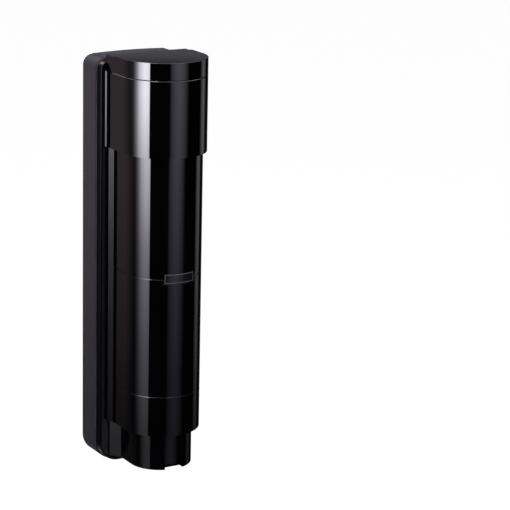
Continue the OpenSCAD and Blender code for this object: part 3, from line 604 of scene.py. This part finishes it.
# %% [markdown]
# Above the hood's lower edge nobody sees the cover until it is pulled off, but its wall and roof
# are still there. They go on from the same rings of vertices, drawn in to the plain radius.

# %% Cover: upper wall, roof and floor
def ring_at(bm, z):
    """The edges that lie in one level."""
    return [e for e in bm.edges if all(abs(v.co.z - z) < merge_gap for v in e.verts)]


def open_ends(ring):
    """The vertices at which an open ring of edges ends, the front or the left one first."""
    ends = [v for v in {v for e in ring for v in e.verts}
            if sum(v in e.verts for e in ring) == 1]
    return sorted(ends, key=lambda v: (round(v.co.y, 5), v.co.x))


def fill(bm, ring):
    """Fills a closed ring of edges with one face."""
    return bmesh.ops.contextual_create(bm, geom=ring)["faces"]


def close_ring(bm, ring):
    """Closes an open ring with one edge and fills it with one face."""
    fill(bm, ring + [bm.edges.new(open_ends(ring))])


def in_wall(edge):
    """Tells whether an edge lies in the plain upper wall, and not at its open rear."""
    narrow = all(abs(v.co.x) <= cover_r + merge_gap for v in edge.verts)
    return narrow and not at_rear(edge)


top_ring = [e for e in ring_at(bm, hood_lo.z) if e.is_boundary]
for v in extrude(bm, top_ring):
    v.co.x = max(-cover_r, min(cover_r, v.co.x))
merge(bm)
top_ring = [e for e in ring_at(bm, hood_lo.z) if e.is_boundary and in_wall(e)]
raise_levels(bm, top_ring, [(cover_hi.z, 0)])
close_ring(bm, ring_at(bm, cover_hi.z))
close_ring(bm, ring_at(bm, cover_lo.z))
finish_piece(bm, "cover_shell", ["front_cover"], [cover_gloss], wall=wall, sharp=20)

# %% [markdown]
# ## Label plate
# A dark plate sits in its seat, flush with the cover. It is a strip spun about the axis, with a
# thin pale line inside its border, which two insets cut out. The plate stays bare.

# %% Label plate
plate_angle = math.radians(24)
plate_wall = 0.75 * mm
border_w = 0.5 * mm
line_w = 0.55 * mm
bm = bmesh.new()
first = new_vertex(bm, (0, axis_y - cover_r, plate_lo.z))
top = bmesh.ops.extrude_vert_indiv(bm, verts=[first])["verts"][0]
top.co.z = plate_hi.z
bmesh.ops.rotate(bm, verts=bm.verts, cent=(0, axis_y, 0), matrix=Matrix.Rotation(-plate_angle, 3, "Z"))
bmesh.ops.spin(bm, geom=list(bm.verts) + list(bm.edges), cent=(0, axis_y, 0), axis=(0, 0, 1),
               angle=2 * plate_angle, steps=24)
merge(bm)
bmesh.ops.recalc_face_normals(bm, faces=bm.faces)
inner = list(bm.faces)
if inner[0].normal.y > 0:
    bmesh.ops.reverse_faces(bm, faces=inner)
for width in (border_w, line_w):
    line = bmesh.ops.inset_region(bm, faces=inner, thickness=width, use_even_offset=True,
                                  use_boundary=True)["faces"]
for face in line:
    face.material_index = 1
finish_piece(bm, "label_plate", ["name_plate"], [plate_face, plate_line],
             wall=plate_wall, bevel=0.1 * mm, segments=2, outwards=False)

# %% [markdown]
# ## Hood
# The hood stands 4 mm proud of the cover and shields it from rain. Its wall is raised from the
# outline: it turns in below to meet the cover, ends in a small chamfer below the cap, and its rear
# edges turn out in a narrow lip. A short tail closes it behind the cap, and the rounding there is
# one vertex, spun about a level axis.

# %% Hood: wall, lips and chamfer
cap_line = hood_top - 17.5 * mm
tail_start = 30 * mm
tail_round = 10 * mm
lip_out = 0.9 * mm
lip_start, lip_end = shell_back - 4.8 * mm, shell_back - 3.1 * mm
seam = 0.15 * mm
chamfer = 0.45 * mm
bm = bmesh.new()
edges = round_outline(bm, hood_r, hood_lo.z, [
    (0, tail_start), (0, lip_start), (lip_out, lip_end), (lip_out, shell_back)])
draw_in(extrude(bm, edges), hood_r - cover_r - seam)
raise_levels(bm, edges, [(cap_line - chamfer, 0), (cap_line, chamfer)])

# %% Hood: rounded tail
back_y = axis_y + tail_start
before = set(bm.edges)
first = new_vertex(bm, (-hood_r, back_y, hood_top))
corner = bmesh.ops.extrude_vert_indiv(bm, verts=[first])["verts"][0]
corner.co.y = rear_y - tail_round
bmesh.ops.spin(bm, geom=[corner], axis=(1, 0, 0), angle=-math.pi / 2, steps=12,
               cent=(-hood_r, corner.co.y, hood_top - tail_round))
profile = [e for e in bm.edges if e not in before]
for v in extrude(bm, profile):
    v.co.x = hood_r
for x in (-hood_r, hood_r):
    ring = [e for e in bm.edges
            if e not in before and all(abs(v.co.x - x) < merge_gap for v in e.verts)]
    low = [new_vertex(bm, (x, y, cap_line)) for y in (back_y, rear_y)]
    ends = open_ends(ring)
    ring += [bm.edges.new(pair) for pair in ((ends[0], low[0]), low, (low[1], ends[1]))]
    fill(bm, ring)

# %% [markdown]
# A shallow step crosses the top in an arc: all that lies behind it is lower. On the tail a cut
# with a plane lowers the top, and a small tongue in front of the arc goes back on it.

# %% Hood: lowered top behind the arc
step_depth = 1.2 * mm
low_top = hood_top - step_depth
tail_geom = [f for f in bm.faces if f.calc_center_median().z > cap_line + merge_gap]
tail_geom += list({v for f in tail_geom for v in f.verts} | {e for f in tail_geom for e in f.edges})
bmesh.ops.bisect_plane(bm, geom=tail_geom, plane_co=(0, 0, low_top), plane_no=(0, 0, 1),
                       clear_outer=True, dist=merge_gap)
close_ring(bm, [e for e in ring_at(bm, low_top) if e.is_boundary])
finish_piece(bm, "hood_shell", ["hood"], [cover_gloss], wall=wall, bevel=0.3 * mm, sharp=20)

# %% [markdown]
# ## Cap of the hood
# The cap closes the hood from above, with a thin drawn-in line where the two meet. Its top is
# flat, and its front part stands a little higher up to the arc. The raised part is one face of
# the top, extruded, so that the side runs on without a seam.

# %% Cap: side and arc
step_mid = 34 * mm
step_side = 21 * mm
sag = step_mid - step_side
step_r = (hood_r ** 2 + sag ** 2) / (2 * sag)
step_y = step_mid - step_r
chord = math.sqrt(step_r ** 2 - (tail_start - step_y) ** 2)
tail_angle = math.atan2(tail_start - step_y, chord)
side_angle = math.atan2(step_side - step_y, hood_r)
line_h = 0.6 * mm
line_in = 0.8 * mm
cap_back = cover_hi.z + 0.2 * mm
cap_wall = 1.6 * mm


def draw_arc(bm, start, angle, steps):
    """An arc of the step, spun from a start point about the step's own centre."""
    vertex = new_vertex(bm, start)
    bmesh.ops.spin(bm, geom=[vertex], cent=(0, axis_y + step_y, start[2]), axis=(0, 0, 1),
                   angle=angle, steps=steps)


def vertex_at(bm, x, y, z):
    """The vertex nearest to a place."""
    return min(bm.verts, key=lambda v: (v.co - Vector((x, y, z))).length)


bm = bmesh.new()
edges = round_outline(bm, hood_r, cap_line, [(0, step_side), (0, tail_start)])
draw_in(list(bm.verts), line_in)
raise_levels(bm, edges, [(cap_line + line_h, 0), (cap_line + line_h, -line_in), (cap_back, 0),
                         (low_top, 0)])
draw_arc(bm, (hood_r, axis_y + step_side, low_top), tail_angle - side_angle, 10)
draw_arc(bm, (-chord, back_y, low_top), tail_angle - side_angle, 10)
merge(bm)
print("radius of the step", round(step_r / mm, 1))

# %% Cap: top and raised front
corners = [vertex_at(bm, x, back_y, low_top) for x in (-hood_r, -chord, chord, hood_r)]
across = [bm.edges.new(pair) for pair in zip(corners, corners[1:])]
below = [vertex_at(bm, x, back_y, cap_back) for x in (-hood_r, hood_r)]
top_edges = ring_at(bm, low_top)
arcs = [e for e in top_edges if not e.link_faces and e not in across]
rim = [e for e in top_edges if e not in arcs and e not in across]
side_edges = [e for e in rim if all(v.co.y > axis_y + step_side - merge_gap for v in e.verts)]
front_edges = [e for e in rim if e not in side_edges]
raised = fill(bm, front_edges + arcs + [across[1]])
for sign, end in ((-1, across[0]), (1, across[2])):
    ring = [end] + [e for e in arcs + side_edges if e.verts[0].co.x * sign > 0]
    fill(bm, ring)
rear = [bm.edges.get((below[0], corners[0])), bm.edges.get((below[1], corners[3])), bm.edges.new(below)]
fill(bm, rear + across)
bmesh.ops.recalc_face_normals(bm, faces=bm.faces)
bmesh.ops.translate(bm, verts=lift_faces(bm, raised), vec=(0, 0, step_depth))
for face in bm.faces:
    if face.normal.z > 0.9 and face.calc_center_median().z > low_top - merge_gap:
        face.material_index = 1
finish_piece(bm, "hood_cap_shell", ["hood_cap"], [cover_gloss, top_gloss], wall=cap_wall,
             bevel=0.3 * mm)

# %% Tongue of the step on the tail
bm = bmesh.new()
draw_arc(bm, (chord, back_y, low_top), math.pi - 2 * tail_angle, 16)
close_ring(bm, list(bm.edges))
lifted = bmesh.ops.extrude_face_region(bm, geom=list(bm.faces))["geom"]
bmesh.ops.translate(bm, verts=verts_in(lifted), vec=(0, 0, step_depth))
finish_piece(bm, "hood_tongue", ["hood"], [top_gloss], bevel=0.15 * mm, segments=2)

# %% [markdown]
# ## Foot
# The foot is narrower than the cover and widens to the rear in an oblique strip. Below its front
# is a recess for the screw that locks the cover. The outline has vertices at both sides of that
# recess, so its mouth is a few faces taken away, and its walls are edges drawn up from the floor.

# %% Foot: skin and the mouth of the screw recess
foot_flare = foot_hi.x - foot_r
foot_crease, foot_strip_end = 23.5 * mm, 34.3 * mm
recess_half = 10 * mm
recess_h = 5.5 * mm
recess_back = axis_y - foot_r + 24 * mm
roof_z = foot_lo.z + recess_h
foot_rear = [(0, foot_crease), (foot_flare, foot_strip_end), (foot_flare, foot_hi.y - axis_y)]
bm = bmesh.new()
edges = round_outline(bm, foot_r, foot_lo.z, foot_rear, cuts=(math.asin(recess_half / foot_r),))
raise_levels(bm, edges, [(roof_z, 0), (foot_hi.z, 0)])
merge(bm)
mouth = []
for face in bm.faces:
    middle = face.calc_center_median()
    if middle.z < roof_z and abs(middle.x) < recess_half and middle.y < axis_y:
        mouth.append(face)
bmesh.ops.delete(bm, geom=mouth, context="FACES")
print("mouth of the recess:", len(mouth), "faces taken away")

# %% Foot: walls and roof of the recess
mouth_y = axis_y - math.sqrt(foot_r ** 2 - recess_half ** 2)
front = [vertex_at(bm, x, mouth_y, foot_lo.z) for x in (-recess_half, recess_half)]
inner = [new_vertex(bm, (x, recess_back, foot_lo.z)) for x in (-recess_half, recess_half)]
path = [bm.edges.new(pair) for pair in ((front[0], inner[0]), inner, (inner[1], front[1]))]
for v in extrude(bm, path):
    v.co.z += recess_h
merge(bm)
roof = [e for e in ring_at(bm, roof_z)
        if all(abs(v.co.x) < recess_half + merge_gap and v.co.y < recess_back + merge_gap
               for v in e.verts)]
fill(bm, roof)
close_ring(bm, ring_at(bm, foot_lo.z))
finish_piece(bm, "foot_shell_piece", ["foot_shell"], [cover_gloss], wall=wall, bevel=0.3 * mm, sharp=20)

# %% [markdown]
# ## Parts whose solids already have the right shape
# The rear box, its frame and the working parts need no new shape, only soft edges. A copy of the
# solid's mesh is merged, its flat triangles are dissolved into whole faces, and a narrow bevel
# rounds what is left. The solid itself is never changed.

# %% Dress a copy of a solid
node_body = {n: o["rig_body"] for n, o in frame["nodes"].items()}


def dress(node, material, bevel=0.2 * mm, segments=2):
    """A copy of a CAD solid with whole faces, soft edges and a finish."""
    bm = bmesh.new()
    bm.from_mesh(frame["nodes"][node].data)
    bmesh.ops.remove_doubles(bm, verts=bm.verts, dist=0.0005 * mm)
    bmesh.ops.dissolve_limit(bm, angle_limit=math.radians(0.5), verts=bm.verts, edges=bm.edges,
                             delimit={"NORMAL"})
    return finish_piece(bm, node + "_piece", [node], [material], node_body[node],
                        bevel=bevel, segments=segments, outwards=False, sharp=32)


dress("back_box", box_satin, bevel=0.4 * mm, segments=3)

# %% [markdown]
# The frame takes two finishes. Its front and its rounded edges are glossy. The faces that look out
# to the sides take a copy of the same black with far less shine: painted shade, where the rear box
# shades them.

# %% Frame and its outer sides
side_margin = 4 * mm
framed = dress("front_frame", frame_gloss, bevel=0.6 * mm, segments=4)
framed.data.materials.append(frame_side_painted_shade)
framed.modifiers["edges"].material = 0
# The outer side faces take the low-shine copy, which paints the shade that falls on them.
for face in framed.data.polygons:
    if abs(face.normal.x) > 0.9 and abs(face.center.x) > hood_r + side_margin:
        face.material_index = 1

# %% Chassis, optics and the parts on the boards
dress("chassis", chassis_black, bevel=0.3 * mm)
for side in ("lower", "upper"):
    dress(side + "_bracket", chassis_black)
    dress(side + "_yoke", chassis_black, bevel=0.3 * mm)
    dress(side + "_lens_holder", chassis_black)
    dress(side + "_tilt_nut", brass)
    dress(side + "_tilt_screw", knob_ivory)
for node in ("terminal_block", "tamper_switch", "test_jack"):
    dress(node, connector_black)
dress("mode_switch_block", switch_red)
for node in ("response_dial_base", "channel_dial_base"):
    dress(node, dial_blue, bevel=0.3 * mm)
for node in ("response_knob", "channel_knob"):
    dress(node, knob_ivory)
dress("relays", relay_white, bevel=0.5 * mm, segments=3)
dress("cover_screw", steel)

# %% [markdown]
# ## Bosses and the rib inside the cover
# Screws need thick round bosses to bite in: two under the cover's floor, four under the cap. A rib
# hangs from the cover's roof in front of the tamper plunger. All are plain rods and blocks.

# %% Rods and blocks
def add_rod(bm, x, y, r, low, high, segments=32):
    """An upright rod between two levels."""
    bmesh.ops.create_cone(bm, cap_ends=True, segments=segments, radius1=r, radius2=r,
                          depth=high - low, matrix=Matrix.Translation((x, y, (low + high) / 2)))


def add_block(bm, low, high, material=0):
    """A block between two corners."""
    low, high = Vector(low), Vector(high)
    size = Matrix.Diagonal((*(high - low), 1))
    made = bmesh.ops.create_cube(bm, size=1, matrix=Matrix.Translation((low + high) / 2) @ size)
    for face in {f for v in made["verts"] for f in v.link_faces}:
        face.material_index = material

# %% Bosses under the cap and over the foot
cap_boss_r, cap_boss_x, cap_boss_y, cap_boss_top = 4 * mm, 22 * mm, 16 * mm, hood_top - 3 * mm
foot_boss_r, foot_boss_x, foot_boss_y = 4.6 * mm, 26 * mm, axis_y + 6 * mm
foot_boss_low, foot_boss_top = foot_hi.z - 16 * mm, foot_hi.z - 0.1 * mm
bm = bmesh.new()
for y in (axis_y - cap_boss_y, axis_y + cap_boss_y):
    for x in (-cap_boss_x, cap_boss_x):
        add_rod(bm, x, y, cap_boss_r, cover_hi.z, cap_boss_top)
finish_piece(bm, "hood_bosses", [], [cover_gloss], bevel=0.2 * mm, segments=2)
bm = bmesh.new()
for x in (-foot_boss_x, foot_boss_x):
    add_rod(bm, x, foot_boss_y, foot_boss_r, foot_boss_low, foot_boss_top)
finish_piece(bm, "foot_bosses", [], [cover_gloss], bevel=0.2 * mm, segments=2)

# %% Rib in front of the tamper plunger
rib_half = 4 * mm
rib_front, rib_rear = 2.3 * mm, 0.3 * mm
plunger_lo, plunger_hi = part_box("tamper_plunger")
plunger_x = (plunger_lo.x + plunger_hi.x) / 2
plunger_z = (plunger_lo.z + plunger_hi.z) / 2
bm = bmesh.new()
add_block(bm, (plunger_x - rib_half, plunger_lo.y - rib_front, plunger_z - rib_half),
          (plunger_x + rib_half, plunger_lo.y - rib_rear, cover_hi.z - wall / 2))
finish_piece(bm, "tamper_rib", [], [cover_gloss], bevel=0.3 * mm)

# %% [markdown]
# ## Components on the boards
# A bare board looks unfinished. Real ones carry dark chips with rows of bright legs, round
# capacitors in metal cans and small pale blocks. Seeded dice strew them, and a place too near
# another part of the board is thrown away.

# %% Three kinds of components
ceramic = finish("ceramic", (0.45, 0.3, 0.16), 0.4, grain=0.1, dust=0.05)
leg_pitch = 1.27 * mm
leg_out, leg_thick, leg_half = 0.9 * mm, 0.45 * mm, 0.25 * mm
end_out, end_proud = 0.3 * mm, 0.05 * mm
chip_high, chip_lift = 1.6 * mm, 0.2 * mm
can_high, small_high = 5.2 * mm, 0.7 * mm


def add_ends(bm, x, z, front, start, end, half_h, high):
    """A bright block at each side, from one distance to another from the middle."""
    for side in (-1, 1):
        inner, outer = sorted((x + side * start, x + side * end))
        add_block(bm, (inner, front - high, z - half_h), (outer, front, z + half_h), material=1)


def add_chip(bm, x, z, front, half_w, half_h):
    """A dark chip with a row of legs at each side."""
    add_block(bm, (x - half_w, front - chip_high, z - half_h),
              (x + half_w, front - chip_lift, z + half_h))
    count = max(2, int(2 * half_h / leg_pitch) - 1)
    for i in range(count):
        level = z + (i - (count - 1) / 2) * leg_pitch
        add_ends(bm, x, level, front, half_w, half_w + leg_out, leg_half, leg_thick)


def add_can(bm, x, z, front, half_w, half_h):
    """A round capacitor that stands on the board, with a bright top."""
    r = min(half_w, half_h)
    place = Matrix.Translation((x, front - can_high / 2, z)) @ Matrix.Rotation(math.pi / 2, 4, "X")
    made = bmesh.ops.create_cone(bm, cap_ends=True, segments=28, radius1=r, radius2=r,
                                 depth=can_high, matrix=place)
    for face in {f for v in made["verts"] for f in v.link_faces}:
        face.material_index = 1 if abs(face.normal.y) > 0.9 else 0


def add_small(bm, x, z, front, half_w, half_h):
    """A small pale block with a bright end cap at each side."""
    add_block(bm, (x - half_w, front - small_high, z - half_h),
              (x + half_w, front, z + half_h), material=2)
    add_ends(bm, x, z, front, half_w * 0.95, half_w + end_out, half_h, small_high + end_proud)

# %% Strew components over a board
room, edge_room, corner_room = 1.3 * mm, 2 * mm, 9 * mm
grid = 0.5
kinds = ((add_chip, 3.6 * mm, 4.4 * mm), (add_can, 2.4 * mm, 2.4 * mm),
         (add_small, 1.2 * mm, 0.7 * mm))


def find_place(dice, low, high, half_w, half_h, taken):
    """Rolls for a place that is clear of all that is taken."""
    for attempt in range(300):
        x = dice.uniform(low.x + half_w + edge_room, high.x - half_w - edge_room)
        z = dice.uniform(low.z + half_h + edge_room, high.z - half_h - edge_room)
        x, z = (round(v / (grid * mm)) * grid * mm for v in (x, z))
        if not any(x + half_w + room > a and x - half_w - room < b and z + half_h + room > c
                   and z - half_h - room < d for a, b, c, d in taken):
            return x, z


def populate(name, board, neighbours, counts, seed):
    """Strews chips, cans and small blocks over a board, clear of the nodes that stand on it."""
    dice = random.Random(seed)
    low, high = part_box(board)
    boxes = [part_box(node) for node in neighbours]
    taken = [(a.x, b.x, a.z, b.z) for a, b in boxes]
    for x in (low.x, high.x):
        for z in (low.z, high.z):
            taken.append((x - corner_room, x + corner_room, z - corner_room, z + corner_room))
    bm = bmesh.new()
    placed = 0
    for (add_one, half_w, half_h), count in zip(kinds, counts):
        for i in range(count):
            place = find_place(dice, low, high, half_w, half_h, taken)
            if place:
                x, z = place
                taken.append((x - half_w, x + half_w, z - half_h, z + half_h))
                add_one(bm, x, z, low.y, half_w, half_h)
                placed += 1
    print(name, "placed", placed, "of", sum(counts))
    finish_piece(bm, name, [], [connector_black, solder, ceramic], node_body[board],
                 bevel=0.08 * mm, segments=1)


on_control = ["test_jack", "mode_switch_block", "tamper_switch", "indicator_lights",
              "response_dial_base", "channel_dial_base"]
populate("control_components", "control_board", on_control, (4, 4, 26), seed=4)
populate("relay_components", "relay_board", ["relays"], (4, 8, 36), seed=9)

# %% [markdown]
# ## Finishes of the remaining solids
# Small or plain solids keep their own meshes and only take a finish.

# %% Give each remaining solid its finish
finishes = {"clamp_nut": brass, "indicator_lights": lamp_red, "tamper_plunger": knob_ivory,
            "lower_lenses": lens_lower, "upper_lenses": lens_upper}
for name in ("box_gasket", "cover_gasket", "wiring_grommet"):
    finishes[name] = rubber
for name in ("chassis", "bracket", "board", "terminal", "hood", "foot"):
    finishes[name + "_screws"] = steel
finishes["tamper_spring"] = steel
for name in ("relay", "control", "lower_sensor", "upper_sensor"):
    finishes[name + "_board"] = board_green
for number in (1, 2, 3):
    finishes[f"mode_slider_{number}"] = knob_ivory
for side in ("lower", "upper"):
    finishes[side + "_pan_scale"] = scale_white
    finishes[side + "_sight"] = mirror
    finishes[side + "_tilt_pins"] = steel
for node, material in finishes.items():
    mesh = frame["nodes"][node].data
    mesh.materials.clear()
    mesh.materials.append(material)
left = [n for n, o in frame["nodes"].items() if not o.hide_render and n not in finishes]
print("finished solids:", len(finishes), "without a finish:", left)

# %% [markdown]
# ## Camera
# A long lens a little over two metres away, to the left of the front and above the housing. The
# slight roll belongs to the photograph.

# %% Camera
camera = bpy.data.objects.new("camera", bpy.data.cameras.new("camera"))
scene.collection.objects.link(camera)
camera.data.lens = 155.29
camera.data.sensor_width = 36
camera.location = Vector((-1014.2, -1955.3, 582.1)) * mm
target = Vector((80.45, -124.08, 14.1)) * mm
aim = (target - camera.location).to_track_quat("-Z", "Y").to_matrix().to_4x4()
roll = Matrix.Rotation(math.radians(1.26), 4, "Z")
camera.matrix_world = Matrix.Translation(camera.location) @ aim @ roll
camera.data.clip_start, camera.data.clip_end = 0.05, 60
scene.camera = camera
print("camera at", [round(c, 3) for c in camera.location])

# %% [markdown]
# ## Studio: white surroundings
# The picture's ground is pure white. The world is white for what the camera, a mirror or glass
# sees, and a little dimmer as a light. A pale floor far below the housing keeps its soft shadow.

# %% World
world_light = 0.7
world = bpy.data.worlds.new("studio")
world.use_nodes = True
scene.world = world
tree = world.node_tree
back = tree.nodes["Background"]
rays = add(tree, "ShaderNodeLightPath").outputs
seen = maths("MAXIMUM", rays["Is Camera Ray"], rays["Is Glossy Ray"])
seen = maths("MAXIMUM", seen, rays["Is Transmission Ray"])
link(plus(times(seen, 1 - world_light), world_light), back.inputs["Strength"])
set_inputs(back, Color=(1, 1, 1, 1))

# %% Floor
floor_z = -0.95
bm = bmesh.new()
bmesh.ops.create_grid(bm, x_segments=1, y_segments=1, size=30,
                      matrix=Matrix.Translation((0, 0, floor_z)))
floor = new_object("floor", bm)
pale, tree, shader = new_material("pale_floor")
set_inputs(shader, Base_Color=(0.8, 0.8, 0.8, 1), Roughness=0.9, Specular_IOR_Level=0,
           Emission_Color=(1, 1, 1, 1))
seen = add(tree, "ShaderNodeLightPath").outputs["Is Camera Ray"]
link(times(seen, 0.42), shader.inputs["Emission Strength"])
floor.data.materials.append(pale)

# %% Key light
key_data = bpy.data.lights.new("key", "AREA")
key_data.shape, key_data.size = "DISK", 1.4
key_data.energy = 28
key = bpy.data.objects.new("key", key_data)
key.location = (-1.6, -1.1, 1.5)
key.rotation_euler = (Vector((0, -0.06, 0)) - key.location).to_track_quat("-Z", "Y").to_euler()
key.visible_glossy = False
scene.collection.objects.link(key)
print("floor at", floor_z, "key light", key_data.energy, "W")

# %% [markdown]
# ## Studio: what the gloss reflects
# Black polished plastic shows nothing of its own: all its shape is in the reflections. A
# photographer stands a softbox with one sharp edge, grey cards and black flags round it. They
# could be placed one by one, but one round screen whose brightness changes with direction and
# height is simpler. Only reflections see it.

# %% Screen of panels round the housing
bm = bmesh.new()
screen_r, screen_low, screen_high = 1.2, -0.9, 1.6
add_rod(bm, 0, axis_y, screen_r, screen_low, screen_high, segments=96)
screen = new_object("studio_screen", bm)
for ray in ("camera", "diffuse", "transmission", "volume_scatter", "shadow"):
    setattr(screen, "visible_" + ray, False)

# %% [markdown]
# The direction is an angle from the front, negative to the left, and a colour ramp over it holds a
# panel. The height goes through a second ramp, because the panels fade towards the floor. The
# two are multiplied, and the panels added up.

# %% Direction and height on the screen
panels, tree, shader = new_material("studio_panels")
panels.cycles.emission_sampling = "NONE"
tree.nodes.remove(shader)
glow = add(tree, "ShaderNodeEmission")
link(glow.outputs[0], tree.nodes["Material Output"].inputs["Surface"])
parts = split(add(tree, "ShaderNodeTexCoord").outputs["Object"])
forward = maths("SUBTRACT", axis_y, parts["Y"])
azimuth = maths("ARCTAN2", parts["X"], forward)
share = plus(maths("DIVIDE", azimuth, 2 * math.pi), 0.5)


def rise(start, over):
    """Goes from 0 to 1 over a height that begins at a start."""
    return maths("DIVIDE", maths("SUBTRACT", parts["Z"], start), over, clamp=True)


def by_angle(stops):
    """A ramp over the direction; each stop is (degrees from the front, value)."""
    return ramp_node(share, [((angle + 180) / 360, value) for angle, value in stops])


def panel(a, b, strength):
    """The light of one panel: where it is, how it fades and how strong it is."""
    return times(times(a, b), strength)


height = rise(-0.6, 0.6)
print("screen of radius", screen_r, "m round the axis")

# %% Softbox at the left
softbox = by_angle([
    (-122, 0), (-112, 0.016), (-107.7, 0.046), (-104.5, 0.095), (-101.3, 0.165), (-98.2, 0.255),
    (-95, 0.385), (-92, 0.555), (-89, 0.67), (-86, 0.76), (-80, 0.91), (-76, 1), (-70, 0.97),
    (-65, 0.92), (-63.4, 0.9), (-62.5, 0)])
soft_fade = ramp_node(height, [
    (0, 0.026), (0.13, 0.051), (0.28, 0.079), (0.45, 0.15), (0.54, 0.208), (0.64, 0.36),
    (0.77, 0.556), (0.87, 0.84), (0.94, 1), (1, 1)])
bright = panel(softbox, soft_fade, 21.7)

# %% Grey card in front
card = by_angle([
    (-12, 0), (-8, 0.35), (-2.6, 0.64), (6, 0.9), (13.5, 1), (22, 0.8), (30, 0.48), (37, 0.12),
    (40, 0)])
card_fade = ramp_node(height, [(0, 0.15), (0.2, 0.2), (0.45, 0.36), (0.65, 0.6), (1, 1)])
grey = panel(card, card_fade, 1.7)

# %% Dim panels behind, seen in the oblique strips
rear = by_angle([
    (-180, 0), (-179, 1), (-161, 1), (-159, 0.1), (-136, 0.1), (-121, 0.07), (-116, 0),
    (80, 0), (86, 0.15), (91, 0.28), (97, 0.27), (102, 0.17), (108, 0.02), (112, 0),
    (180, 0)])
rear_fade = ramp_node(height, [
    (0, 0.15), (0.18, 0.3), (0.25, 0.42), (0.42, 0.61), (0.8, 1), (1, 1)])
dim = panel(rear, rear_fade, 2.4)

# %% [markdown]
# The top of the hood mirrors what stands behind the housing: a faint backdrop, darker above, and
# the bright ceiling of the screen. A last ramp tints all the panels: those at the rear left are a
# little warm, the others a little blue.

# %% Backdrop, ceiling and tints
backdrop = by_angle([
    (-180, 1), (-168, 0.6), (-160, 0), (118, 0), (135, 0.35), (146, 0.8), (158, 1),
    (180, 1)])
upper = ramp_node(rise(0.38, 0.1), [
    (0, 1), (0.41, 1), (0.47, 0.45), (0.52, 0.3), (1, 0.3)])
above = panel(upper, backdrop, 0.19)
over_all = plus(above, times(rise(0.9, 0.4), 4.0))
level = plus(plus(bright, grey), plus(dim, over_all))
link(level, glow.inputs["Strength"])
warm, cool, blue = (1, 0.8, 0.86), (0.92, 0.9, 1), (0.9, 0.88, 1)
tints = by_angle([
    (-180, warm), (-128, warm), (-114, cool), (-58, cool), (-14, (0.84, 0.81, 1)),
    (40, (0.84, 0.82, 1)), (88, (1, 0.95, 0.97)), (122, blue), (180, blue)])
link(tints, glow.inputs["Color"])
screen.data.materials.append(panels)
print("nodes that make the panels:", len(tree.nodes))

# %% [markdown]
# ## Last steps
# The view transform stays Standard, so that a colour looks as it is written.

# %% View transform
scene.view_settings.view_transform = "Standard"
